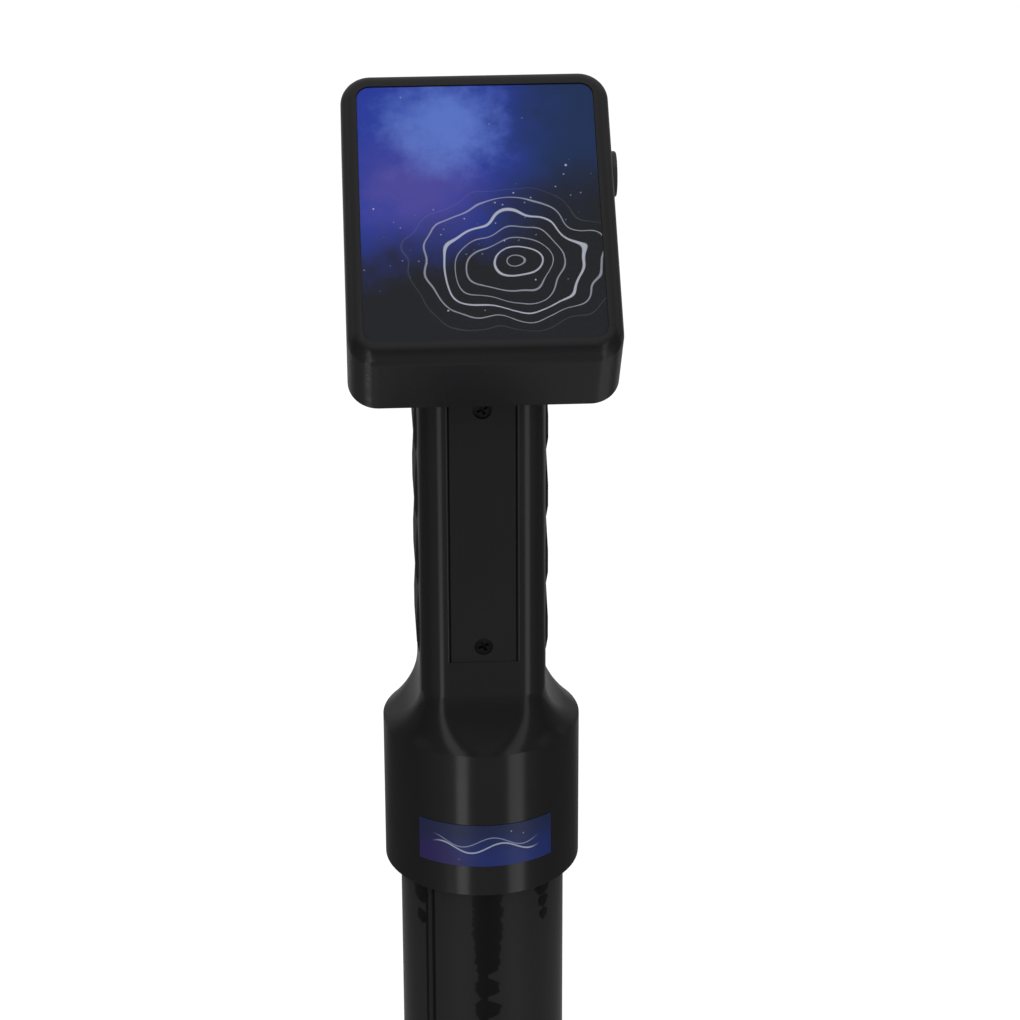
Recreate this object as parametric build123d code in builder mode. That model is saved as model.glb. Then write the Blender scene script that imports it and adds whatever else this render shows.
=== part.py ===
from build123d import *
import math
import os

# Hand-held ground scanner: a sensor tube, an upright grip with its collar, and a head that leans to the user.
# Millimetres. The origin is the centre of the foot's face, +Z runs up the tube and the user stands at -Y.

os.makedirs("parts", exist_ok=True)

# Sensor tube and foot
TUBE_OD = 50.0
TUBE_WALL = 2.5
WRAP_THICKNESS = 0.25
WRAP_GAP = 0.4
REACH = 500.0
CAP_FLANGE = 4.0
CAP_EDGE = 1.0
SPIGOT_LENGTH = 16.0
SEAL_CORD = 2.4
SEAL_HEIGHT = 5.0
PLUG_LENGTH = 16.0

# Sensors inside the tube
CARRIER_WIDTH = 34.0
CARRIER_THICKNESS = 3.0
CARRIER_GRIP = 8.0
SENSOR_LENGTH = 64.0
SENSOR_FLANGE_R = 9.0
SENSOR_FLANGE_T = 4.0
SENSOR_CORE_R = 6.5
LOWER_SENSOR_GAP = 16.0
UPPER_SENSOR_GAP = 60.0
CLAMP_LENGTH = 10.0
CLAMP_WALL = 2.5
CLAMP_INSET = 6.0
SPACER_THICKNESS = 12.0
SPACER_COUNT = 3

# Collar, shoulder and grip
COLLAR_OD = 60.0
COLLAR_H = 47.8
COLLAR_EDGE = 0.2
SOCKET_DEPTH = 40.0
SHOULDER_H = 15.6
SIDE_HOLLOW = 1.8
FRONT_HOLLOW = 1.3
FRONT_ROUNDING = 2.2
SHOULDER_SECTIONS = 9
SHOULDER_STEP = 0.08
SHOULDER_FLAT = 0.12
GRIP_W = 38.0
GRIP_D = 42.0
GRIP_CORNER = 8.4
LOCK_SCREW_R = 2.0
LOCK_SCREW_HEIGHT = 30.0
LOCK_SCREW_SUNK = 0.5
LOCK_SCREW_TURNS = (40.0, 90.0, 140.0)
LOCK_SOCKET_R = 1.1
LOCK_SOCKET_DEPTH = 2.0
LABEL_THICKNESS = 0.15
LABEL_HALF_ANGLE = 41.5
LABEL_BOTTOM = 10.3
LABEL_HEIGHT = 14.0

# Finger pad on the grip's back
PAD_THICKNESS = 2.0
PAD_BOTTOM = 74.9
PAD_SETBACK = 0.1
RIDGE_COUNT = 4
RIDGE_PITCH = 21.6
RIDGE_FALL = 3.6
RIDGE_RISE = 11.0
RIDGE_LOW = 0.1
RIDGE_HIGH = 0.7

# Battery bay and its cover
COVER_THICKNESS = 2.0
COVER_SUNK = 0.15
COVER_EDGE = 0.2
COVER_GAP = 0.1
COVER_SCREW_SUNK = 0.6
RECESS_BOTTOM = 75.0
RECESS_WIDTH = 19.8
RECESS_EDGE = 0.9
COVER_END = 8.7
INSERT_WALL = 1.6
INSERT_R = 2.1
INSERT_LENGTH = 5.0
CELL_D = 18.4
CELL_LENGTH = 65.0
CELL_NUB_R = 3.2
CELL_NUB_H = 1.2
CELL_ROOM = 0.3
CONTACT_T = 0.4
CONTACT_W = 8.0
CONTACT_SPRING_H = 3.0
CONTACT_END_ROOM = 0.2

# Wires
CABLE_R = 2.0
CABLE_Y = 6.0
CABLE_TAIL = 18.0
CABLE_BEND = 12.0
CHANNEL_R = 4.5
CHANNEL_Y = 8.0
LEAD_R = 0.8
LEAD_INSET = 1.3
LEAD_BORE_R = 1.2
LEAD_BEND = 6.0
GROMMET_WALL = 1.1

# Head
HEAD_TILT = 38.4
HEAD_SEAT = 193.7
HEAD_W = 77.4
HEAD_H = 96.0
HEAD_T = 28.4
HEAD_CORNER = 8.7
HEAD_EDGE = 4.5
HEAD_BACK_EDGE = 0.6
HEAD_WALL = 3.0
FACE_WALL = 3.4
BACK_LIP = 2.2
BACK_THICKNESS = 3.0
FILM_W = 68.0
FILM_H = 85.0
FILM_CORNER = 4.0
FILM_THICKNESS = 0.5
FILM_SUNK = 0.4
BOSS_R = 4.0
BOSS_INSET = 6.5
NECK_SCREW_SPACING_X = 27.0
NECK_SCREW_SPACING_Y = 32.0
NECK_SCREW_SHIFT = -4.0
NECK_SCREW_GRIP = 9.0
OPENING_ROOM = 3.5
OPENING_SIDE = 1.8
OPENING_CORNER = 3.0

# Circuit board
BOARD_W = 58.0
BOARD_H = 68.0
BOARD_T = 1.6
BOARD_CORNER = 2.0
STANDOFF = 3.0
STANDOFF_R = 3.0
BOARD_SCREW_INSET = 4.0
BATTERY_BLOCK = (22.0, 8.0, 7.0)
SENSOR_BLOCK = (10.0, 6.0, 5.0)
SWITCH_BLOCK = (6.0, 8.0, 3.0)
SWITCH_BLOCK_X = 10.0
CABLE_CORNER_H = 9.5
LEAD_CORNER_H = 10.0
RADIO_SIZE = (18.0, 26.0, 3.0)
RADIO_PLACE = (-12.0, -14.0)
PROCESSOR_SIZE = (12.0, 12.0, 1.6)
PROCESSOR_PLACE = (12.0, -10.0)
CONVERTER_SIZE = (8.0, 6.0, 1.4)
CONVERTER_PLACE = (12.0, -24.0)
REGULATOR_SIZE = (6.0, 6.0, 2.2)
REGULATOR_PLACE = (-16.0, 24.0)

# Power button on the head's right wall
BUTTON_UP = 20.3
BUTTON_LEVEL = 14.2
BUTTON_FLANGE_R = 6.65
BUTTON_FLANGE_T = 1.75
BUTTON_FLANGE_EDGE = 0.4
BUTTON_BARREL_R = 5.2
BUTTON_BARREL_LENGTH = 9.0
BUTTON_BARREL_WALL = 0.9
BUTTON_LIP_T = 1.55
BUTTON_TOP_R = 3.6
BUTTON_PROUD = 0.1
BUTTON_SKIRT = 2.1
BUTTON_TRAVEL = 1.6
BUTTON_STEM_R = 1.5
BUTTON_STEM_LENGTH = 7.0
BUTTON_TOP_EDGE = 0.4
BUTTON_BASE_PLUG = 3.0
BUTTON_BASE_R = 4.7
BUTTON_BASE_LENGTH = 7.0
NUT_FLATS = 14.0
NUT_THICKNESS = 3.0
SPRING_R = 3.0
SPRING_WIRE_R = 0.3
SPRING_TURNS = 4
TERMINAL_SIZE = (2.0, 0.6, 4.0)
TERMINAL_SPACING = 5.0
SWITCH_LEAD_R = 0.6
SWITCH_LEAD_BEND = 2.4

# Screws: shank radius, head radius and head height
COVER_SCREW = (1.45, 2.6, 1.2)
CASE_SCREW = (1.45, 2.7, 1.5)
NECK_SCREW = (1.45, 2.7, 2.0)
BOARD_SCREW = (1.2, 2.2, 1.6)
COVER_SCREW_LENGTH = 6.0
CASE_SCREW_LENGTH = 12.0
BOARD_SCREW_LENGTH = 4.2
CROSS_WIDTH = 0.8
CROSS_DEPTH = 1.0
CROSS_REACH = 0.65
CROSS_TURN = 25.0

# Clearances
GLUE = 0.03
SPIGOT_CLEARANCE = 0.1
SOCKET_CLEARANCE = 0.1
SLIP = 0.2
THREAD_CLEARANCE = 0.05
HOLE_CLEARANCE = 0.15
RUN_CLEARANCE = 0.1
END_CLEARANCE = 0.05
WIRE_CLEARANCE = 0.1

# Heights and radii that follow from the sizes above
tube_r = TUBE_OD / 2
bore_r = tube_r - TUBE_WALL
spigot_r = bore_r - SPIGOT_CLEARANCE
wrap_in = tube_r + GLUE
wrap_out = wrap_in + WRAP_THICKNESS
socket_r = tube_r + SOCKET_CLEARANCE
tube_top = REACH + SOCKET_DEPTH
cap_top = CAP_FLANGE + SPIGOT_LENGTH
plug_bottom = tube_top - PLUG_LENGTH
collar_r = COLLAR_OD / 2
shoulder_base = REACH + COLLAR_H
grip_base = shoulder_base + SHOULDER_H

# The head's frame: its origin is where the tube's axis meets the head's back, its y runs up the face
tilt = math.radians(HEAD_TILT)
seat_z = REACH + HEAD_SEAT
head_plane = Plane(origin=(0, 0, seat_z), x_dir=(1, 0, 0), z_dir=(0, -math.sin(tilt), math.cos(tilt)))
head_axis = Axis(head_plane.origin, head_plane.z_dir)


def head_level(height):
    """The plane at this height above the head's back."""
    return head_plane.offset(height)


def head_point(x, y, height):
    """A point in the head's frame."""
    return head_plane.from_local_coords(Vector(x, y, height))


def upright_in_head(y, height):
    """How far up the head an upright line at this Y stands when it reaches a height above the head's back."""
    return y / math.cos(tilt) + height * math.tan(tilt)


# The grip's front: x to the right, y up from the collar's mouth, z towards the user
grip_front = Plane(origin=(0, -GRIP_D / 2, REACH), x_dir=(1, 0, 0), z_dir=(0, -1, 0))

# The button's frame: its origin is on the head's right wall, its z points out of the wall
button_plane = Plane(
    origin=head_point(HEAD_W / 2, BUTTON_UP, BUTTON_LEVEL), x_dir=head_plane.y_dir, z_dir=(1, 0, 0)
)

TOP = (Align.CENTER, Align.CENTER, Align.MAX)
BOTTOM = (Align.CENTER, Align.CENTER, Align.MIN)


def cross_slots(head_r):
    """Cut a cross into a screw's head, whose face lies on the plane."""
    for turn in (CROSS_TURN, CROSS_TURN + 90):
        Box(
            2 * CROSS_REACH * head_r,
            CROSS_WIDTH,
            CROSS_DEPTH,
            rotation=(0, 0, turn),
            align=TOP,
            mode=Mode.SUBTRACT,
        )


def flush_screw(size, length):
    """A countersunk cross-head screw with its face on the plane and its shank below it."""
    shank_r, head_r, head_h = size
    Cone(shank_r, head_r, head_h, align=TOP)
    Cylinder(shank_r, length, align=TOP)
    cross_slots(head_r)


def pan_screw(size, length):
    """A cross-head screw with a flat round head that stands on the plane and its shank below it."""
    shank_r, head_r, head_h = size
    Cylinder(head_r, head_h, align=BOTTOM)
    Cylinder(shank_r, length, align=TOP)
    with Locations((0, 0, head_h)):
        cross_slots(head_r)


def flush_hole(size, depth):
    """Cut the hole of a countersunk screw, with the same cone as its head."""
    shank_r, head_r, head_h = size
    Cone(shank_r + HOLE_CLEARANCE, head_r + HOLE_CLEARANCE, head_h, align=TOP, mode=Mode.SUBTRACT)
    Cylinder(shank_r + HOLE_CLEARANCE, depth, align=TOP, mode=Mode.SUBTRACT)


def ring_sector(inner, outer, middle, half_angle):
    """Draw a piece of a ring about the origin, with its angles in degrees."""
    with BuildLine() as outline:
        near = CenterArc((0, 0), inner, middle - half_angle, 2 * half_angle)
        far = CenterArc((0, 0), outer, middle - half_angle, 2 * half_angle)
        Line(near @ 0, far @ 0)
        Line(near @ 1, far @ 1)
    make_face(outline.edges())


# Sensor tube
with BuildPart() as sensor_tube:
    with BuildSketch(Plane.XY.offset(CAP_FLANGE)):
        Circle(tube_r)
        Circle(bore_r, mode=Mode.SUBTRACT)
    extrude(amount=tube_top - CAP_FLANGE)

# Film round the tube, from the foot to just under the collar
with BuildPart() as tube_wrap:
    with BuildSketch(Plane.XY.offset(CAP_FLANGE)):
        Circle(wrap_out)
        Circle(wrap_in, mode=Mode.SUBTRACT)
    extrude(amount=REACH - WRAP_GAP - CAP_FLANGE)

# Foot of the tube
seal_z = CAP_FLANGE + SEAL_HEIGHT
seal_floor_r = bore_r - END_CLEARANCE - SEAL_CORD
groove_width = SEAL_CORD + 2 * SLIP
slot_floor = cap_top - CARRIER_GRIP
with BuildPart() as tube_end_cap:
    with BuildSketch():
        Circle(tube_r)
    extrude(amount=CAP_FLANGE)
    with BuildSketch(Plane.XY.offset(CAP_FLANGE)):
        Circle(spigot_r)
    extrude(amount=SPIGOT_LENGTH)
    chamfer(tube_end_cap.edges().group_by(Axis.Z)[0], length=CAP_EDGE)
    with BuildSketch(Plane.XY.offset(seal_z - groove_width / 2)):
        Circle(tube_r)
        Circle(seal_floor_r, mode=Mode.SUBTRACT)
    extrude(amount=groove_width, mode=Mode.SUBTRACT)
    with BuildSketch(Plane.XY.offset(slot_floor)):
        Rectangle(CARRIER_WIDTH + 2 * SLIP, CARRIER_THICKNESS + 2 * SLIP)
    extrude(amount=CARRIER_GRIP, mode=Mode.SUBTRACT)

# Ring seal in the foot's groove
with BuildPart() as end_cap_seal:
    with BuildSketch(Plane.XZ):
        with Locations((seal_floor_r + SEAL_CORD / 2, seal_z)):
            Circle(SEAL_CORD / 2 - END_CLEARANCE)
    revolve(axis=Axis.Z)

# Plug in the tube's top
carrier_top = plug_bottom + CARRIER_GRIP
grommet_r = CABLE_R + WIRE_CLEARANCE + GROMMET_WALL
with BuildPart() as tube_top_plug:
    with BuildSketch(Plane.XY.offset(plug_bottom)):
        Circle(spigot_r)
        with Locations((0, CABLE_Y)):
            Circle(grommet_r + END_CLEARANCE, mode=Mode.SUBTRACT)
    extrude(amount=PLUG_LENGTH)
    with BuildSketch(Plane.XY.offset(plug_bottom)):
        Rectangle(CARRIER_WIDTH + 2 * SLIP, CARRIER_THICKNESS + 2 * SLIP)
    extrude(amount=CARRIER_GRIP, mode=Mode.SUBTRACT)

# Grommet where the cable leaves the plug
with BuildPart() as cable_grommet:
    with BuildSketch(Plane.XY.offset(plug_bottom)):
        with Locations((0, CABLE_Y)):
            Circle(grommet_r)
            Circle(CABLE_R + WIRE_CLEARANCE, mode=Mode.SUBTRACT)
    extrude(amount=PLUG_LENGTH)

# Strip that carries the sensors, held in the foot and in the plug
with BuildPart() as sensor_carrier:
    with BuildSketch(Plane.XY.offset(slot_floor)):
        Rectangle(CARRIER_WIDTH, CARRIER_THICKNESS)
    extrude(amount=carrier_top - SLIP - slot_floor)

# Two sensors: wound cores with a flange at each end, which rest on the strip's front
sensor_y = -CARRIER_THICKNESS / 2 - SENSOR_FLANGE_R - END_CLEARANCE
lower_sensor_z = cap_top + LOWER_SENSOR_GAP
upper_sensor_z = plug_bottom - UPPER_SENSOR_GAP - SENSOR_LENGTH
lower_sensor_top = lower_sensor_z + SENSOR_LENGTH
sensors = {}
for sensor_name, sensor_z in (("lower_sensor", lower_sensor_z), ("upper_sensor", upper_sensor_z)):
    with BuildPart() as sensor:
        with BuildSketch(Plane.XY.offset(sensor_z)):
            with Locations((0, sensor_y)):
                Circle(SENSOR_CORE_R)
        extrude(amount=SENSOR_LENGTH)
        for flange_z in (sensor_z, sensor_z + SENSOR_LENGTH - SENSOR_FLANGE_T):
            with BuildSketch(Plane.XY.offset(flange_z)):
                with Locations((0, sensor_y)):
                    Circle(SENSOR_FLANGE_R)
            extrude(amount=SENSOR_FLANGE_T)
    sensors[sensor_name] = sensor

# Saddles that hold the sensors' cores on the strip
saddle_half = SENSOR_CORE_R + CLAMP_WALL
saddle_front = sensor_y - saddle_half
saddle_depth = -CARRIER_THICKNESS / 2 - saddle_front
clamp_low = SENSOR_FLANGE_T + CLAMP_INSET
clamp_high = SENSOR_LENGTH - clamp_low - CLAMP_LENGTH
with BuildPart() as sensor_clamps:
    for sensor_z in (lower_sensor_z, upper_sensor_z):
        for clamp_z in (sensor_z + clamp_low, sensor_z + clamp_high):
            with BuildSketch(Plane.XY.offset(clamp_z)):
                with Locations((0, saddle_front + saddle_depth / 2)):
                    Rectangle(2 * saddle_half, saddle_depth)
                with Locations((0, sensor_y)):
                    Circle(SENSOR_CORE_R + END_CLEARANCE, mode=Mode.SUBTRACT)
            extrude(amount=CLAMP_LENGTH)

# Foam rings that centre the strip in the tube, evenly between the sensors
spacer_pitch = (upper_sensor_z - lower_sensor_top) / (SPACER_COUNT + 1)
with BuildPart() as carrier_spacers:
    for spacer in range(1, SPACER_COUNT + 1):
        spacer_middle = lower_sensor_top + spacer * spacer_pitch
        with BuildSketch(Plane.XY.offset(spacer_middle - SPACER_THICKNESS / 2)):
            Circle(spigot_r)
            Rectangle(CARRIER_WIDTH + 2 * SLIP, CARRIER_THICKNESS + 2 * SLIP, mode=Mode.SUBTRACT)
            with Locations((0, CABLE_Y)):
                Circle(CABLE_R + WIRE_CLEARANCE, mode=Mode.SUBTRACT)
        extrude(amount=SPACER_THICKNESS)


def between(start, end, share):
    """A size on its way from start to end."""
    return start + (end - start) * share


# Battery bay, measured on the grip's front
recess_depth = COVER_THICKNESS + COVER_SUNK
bay_w = CELL_D + 2 * CELL_ROOM
bay_depth = CELL_D + 2 * CELL_ROOM
bay_length = CONTACT_SPRING_H + CELL_LENGTH + CONTACT_T + CONTACT_END_ROOM
recess_length = bay_length + 2 * COVER_END
recess_middle = RECESS_BOTTOM + recess_length / 2
lip_x = RECESS_WIDTH / 2 + RECESS_EDGE
cover_screw_spacing = bay_length + 2 * INSERT_WALL + 2 * INSERT_R
bay_bottom = REACH + recess_middle - bay_length / 2
bay_top = bay_bottom + bay_length
bay_floor_y = -GRIP_D / 2 + recess_depth + bay_depth
cell_y = bay_floor_y - bay_depth / 2
lead_x = bay_w / 2 - LEAD_INSET
lead_y = bay_floor_y - LEAD_INSET

# Finger pad and the core of the grip behind it
pad_length = RIDGE_COUNT * RIDGE_PITCH
pad_z = REACH + PAD_BOTTOM
core_w = GRIP_W - 2 * PAD_THICKNESS
core_d = GRIP_D - 2 * PAD_THICKNESS
core_corner = GRIP_CORNER - PAD_THICKNESS
pad_front = PAD_SETBACK + GRIP_CORNER - GRIP_D / 2
pad_reach = GRIP_D

# Grip, shoulder and collar in one
with BuildPart() as handle_body:
    with BuildSketch(Plane.XY.offset(REACH)):
        Circle(collar_r)
    extrude(amount=COLLAR_H)
    chamfer(handle_body.edges().group_by(Axis.Z)[0], length=COLLAR_EDGE)
    # Shoulder: hollow sides, a straighter front with late corners, and an edge where it meets the collar
    for level in range(SHOULDER_SECTIONS):
        up = level / (SHOULDER_SECTIONS - 1)
        out = 1 - up
        width = between(GRIP_W, COLLAR_OD - 2 * SHOULDER_STEP, out**SIDE_HOLLOW)
        depth = between(GRIP_D, COLLAR_OD - 2 * SHOULDER_STEP, out**FRONT_HOLLOW)
        full_round = min(width, depth) / 2 - SHOULDER_FLAT
        front_corner = between(GRIP_CORNER, collar_r, out**FRONT_ROUNDING)
        rear_corner = between(GRIP_CORNER, collar_r, out)
        with BuildSketch(Plane.XY.offset(shoulder_base + up * SHOULDER_H)) as section:
            Rectangle(width, depth)
            fillet(section.vertices().group_by(Axis.Y)[0], radius=min(front_corner, full_round))
            fillet(section.vertices().group_by(Axis.Y)[-1], radius=min(rear_corner, full_round))
    loft()
    with BuildSketch(Plane.XY.offset(grip_base)):
        RectangleRounded(GRIP_W, GRIP_D, GRIP_CORNER)
    extrude(amount=seat_z + GRIP_D - grip_base)
    split(bisect_by=head_plane, keep=Keep.BOTTOM)
    # Socket of the tube, and the lock screws' holes
    with BuildSketch(Plane.XY.offset(REACH)):
        Circle(socket_r)
    extrude(amount=SOCKET_DEPTH, mode=Mode.SUBTRACT)
    for turn in LOCK_SCREW_TURNS:
        across = (math.cos(math.radians(turn)), math.sin(math.radians(turn)), 0)
        with BuildSketch(Plane(origin=(0, 0, REACH + LOCK_SCREW_HEIGHT), z_dir=across)):
            Circle(LOCK_SCREW_R + THREAD_CLEARANCE)
        extrude(amount=COLLAR_OD, mode=Mode.SUBTRACT)
    # Bed of the finger pad
    with BuildSketch(Plane.XY.offset(pad_z)):
        with Locations((0, (pad_front + pad_reach) / 2)):
            Rectangle(2 * pad_reach, pad_reach - pad_front)
        RectangleRounded(core_w, core_d, core_corner, mode=Mode.SUBTRACT)
    extrude(amount=pad_length, mode=Mode.SUBTRACT)
    # Cover recess with rounded long edges, battery bay and the inserts' holes
    with BuildSketch(Plane.XY.offset(REACH + RECESS_BOTTOM)):
        with Locations((0, -GRIP_D / 2)):
            Rectangle(RECESS_WIDTH, 2 * recess_depth)
            Rectangle(RECESS_WIDTH + 2 * RECESS_EDGE, 2 * RECESS_EDGE)
            with Locations((-lip_x, RECESS_EDGE), (lip_x, RECESS_EDGE)):
                Circle(RECESS_EDGE, mode=Mode.SUBTRACT)
    extrude(amount=recess_length, mode=Mode.SUBTRACT)
    with BuildSketch(grip_front.offset(-recess_depth)):
        with Locations((0, bay_bottom + bay_length / 2 - REACH)):
            Rectangle(bay_w, bay_length)
    extrude(amount=-bay_depth, mode=Mode.SUBTRACT)
    with BuildSketch(grip_front.offset(-recess_depth)):
        with Locations((0, recess_middle)):
            with GridLocations(0, cover_screw_spacing, 1, 2):
                Circle(INSERT_R)
    extrude(amount=-COVER_SCREW_LENGTH, mode=Mode.SUBTRACT)
    # Ways for the cable and the battery leads
    with BuildSketch(Plane.XY.offset(tube_top)):
        with Locations((0, CHANNEL_Y)):
            Circle(CHANNEL_R)
    extrude(amount=seat_z, mode=Mode.SUBTRACT)
    with BuildSketch(Plane.XY.offset(bay_top)):
        with Locations((-lead_x, lead_y), (lead_x, lead_y)):
            Circle(LEAD_BORE_R)
    extrude(amount=seat_z, mode=Mode.SUBTRACT)
    # Holes of the screws that hold the head
    with BuildSketch(head_plane):
        with Locations((0, NECK_SCREW_SHIFT)):
            with GridLocations(NECK_SCREW_SPACING_X, NECK_SCREW_SPACING_Y, 2, 2):
                Circle(NECK_SCREW[0] + THREAD_CLEARANCE)
    extrude(amount=-NECK_SCREW_GRIP - SLIP, mode=Mode.SUBTRACT)

# Finger pad: each ridge swells downwards, stays level and then falls in
ridge_height = RIDGE_HIGH - RIDGE_LOW
with BuildPart() as rear_finger_grip:
    for ridge in range(RIDGE_COUNT):
        ridge_z = pad_z + ridge * RIDGE_PITCH
        with BuildSketch(Plane.XY.offset(ridge_z)):
            RectangleRounded(GRIP_W + 2 * RIDGE_LOW, GRIP_D + 2 * RIDGE_LOW, GRIP_CORNER + RIDGE_LOW)
        extrude(amount=RIDGE_FALL, taper=-math.degrees(math.atan2(ridge_height, RIDGE_FALL)))
        with BuildSketch(Plane.XY.offset(ridge_z + RIDGE_FALL)):
            RectangleRounded(GRIP_W + 2 * RIDGE_HIGH, GRIP_D + 2 * RIDGE_HIGH, GRIP_CORNER + RIDGE_HIGH)
        extrude(amount=RIDGE_PITCH - RIDGE_FALL - RIDGE_RISE)
        with BuildSketch(Plane.XY.offset(ridge_z + RIDGE_PITCH - RIDGE_RISE)):
            RectangleRounded(GRIP_W + 2 * RIDGE_HIGH, GRIP_D + 2 * RIDGE_HIGH, GRIP_CORNER + RIDGE_HIGH)
        extrude(amount=RIDGE_RISE, taper=math.degrees(math.atan2(ridge_height, RIDGE_RISE)))
    with BuildSketch(Plane.XY.offset(pad_z)):
        RectangleRounded(core_w, core_d, core_corner)
        with Locations((0, pad_front - pad_reach)):
            Rectangle(2 * pad_reach, 2 * pad_reach)
    extrude(amount=pad_length, mode=Mode.SUBTRACT)

# Grub screws that hold the tube in the collar
lock_length = collar_r - LOCK_SCREW_SUNK - tube_r - END_CLEARANCE
with BuildPart() as tube_lock_screws:
    for turn in LOCK_SCREW_TURNS:
        across = Vector(math.cos(math.radians(turn)), math.sin(math.radians(turn)), 0)
        foot = Vector(0, 0, REACH + LOCK_SCREW_HEIGHT) + across * (tube_r + END_CLEARANCE)
        with BuildSketch(Plane(origin=foot, z_dir=across)):
            Circle(LOCK_SCREW_R)
        extrude(amount=lock_length)
        with BuildSketch(Plane(origin=foot + across * lock_length, z_dir=across)):
            RegularPolygon(LOCK_SOCKET_R, 6)
        extrude(amount=-LOCK_SOCKET_DEPTH, mode=Mode.SUBTRACT)

# Label on the collar's front
FRONT = -90.0
with BuildPart() as collar_label:
    with BuildSketch(Plane.XY.offset(REACH + LABEL_BOTTOM)):
        ring_sector(collar_r + GLUE, collar_r + GLUE + LABEL_THICKNESS, FRONT, LABEL_HALF_ANGLE)
    extrude(amount=LABEL_HEIGHT)

# Battery cover, a little below the grip's front, with its foot close to the recess
cover_plane = grip_front.offset(-COVER_SUNK)
cover_length = recess_length - COVER_GAP - END_CLEARANCE
cover_middle = RECESS_BOTTOM + END_CLEARANCE + cover_length / 2
with BuildPart(cover_plane) as battery_cover:
    with BuildSketch(cover_plane):
        with Locations((0, cover_middle)):
            Rectangle(RECESS_WIDTH - 2 * COVER_GAP, cover_length)
    extrude(amount=-COVER_THICKNESS)
    chamfer(battery_cover.faces().sort_by(Axis.Y)[0].edges().filter_by(Axis.Z), length=COVER_EDGE)
    with Locations((0, recess_middle, 0)):
        with GridLocations(0, cover_screw_spacing, 1, 2):
            Cylinder(COVER_SCREW[1] + HOLE_CLEARANCE, COVER_SCREW_SUNK, align=TOP, mode=Mode.SUBTRACT)
    with Locations((0, recess_middle, -COVER_SCREW_SUNK)):
        with GridLocations(0, cover_screw_spacing, 1, 2):
            flush_hole(COVER_SCREW, COVER_THICKNESS)

with BuildPart(cover_plane) as battery_cover_screws:
    with Locations((0, recess_middle, -COVER_SCREW_SUNK)):
        with GridLocations(0, cover_screw_spacing, 1, 2):
            flush_screw(COVER_SCREW, COVER_SCREW_LENGTH)

# Threaded inserts under the cover's ends
with BuildPart() as battery_cover_inserts:
    with BuildSketch(grip_front.offset(-recess_depth)):
        with Locations((0, recess_middle)):
            with GridLocations(0, cover_screw_spacing, 1, 2):
                Circle(INSERT_R - END_CLEARANCE)
                Circle(COVER_SCREW[0] + THREAD_CLEARANCE, mode=Mode.SUBTRACT)
    extrude(amount=-INSERT_LENGTH)

# Battery cell between its contacts
cell_bottom = bay_bottom + CONTACT_SPRING_H
with BuildPart() as battery_cell:
    with BuildSketch(Plane.XY.offset(cell_bottom)):
        with Locations((0, cell_y)):
            Circle(CELL_D / 2)
    extrude(amount=CELL_LENGTH - CELL_NUB_H)
    with BuildSketch(Plane.XY.offset(cell_bottom)):
        with Locations((0, cell_y)):
            Circle(CELL_NUB_R)
    extrude(amount=CELL_LENGTH)

contact_half = bay_w / 2 - CELL_ROOM
contact_depth = CONTACT_W / 2 + bay_depth / 2 - CELL_ROOM
contact_y = cell_y - CONTACT_W / 2 + contact_depth / 2
with BuildPart() as battery_contact_bottom:
    with BuildSketch(Plane.XY.offset(bay_bottom)):
        with Locations((0, contact_y)):
            Rectangle(2 * contact_half, contact_depth)
    extrude(amount=CONTACT_T)
    with BuildSketch(Plane.YZ):
        with BuildLine():
            Polyline(
                (cell_y + CONTACT_W / 2, bay_bottom + CONTACT_T / 2),
                (cell_y + CONTACT_W / 4, cell_bottom - CONTACT_T / 2),
                (cell_y - CONTACT_W / 2, cell_bottom - CONTACT_T / 2),
            )
        trace(line_width=CONTACT_T)
    extrude(amount=CONTACT_W / 2, both=True)

with BuildPart() as battery_contact_top:
    with BuildSketch(Plane.XY.offset(bay_top - CONTACT_T)):
        with Locations(((CONTACT_W / 2 - contact_half) / 2, contact_y)):
            Rectangle(CONTACT_W / 2 + contact_half, contact_depth)
    extrude(amount=CONTACT_T)

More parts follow.
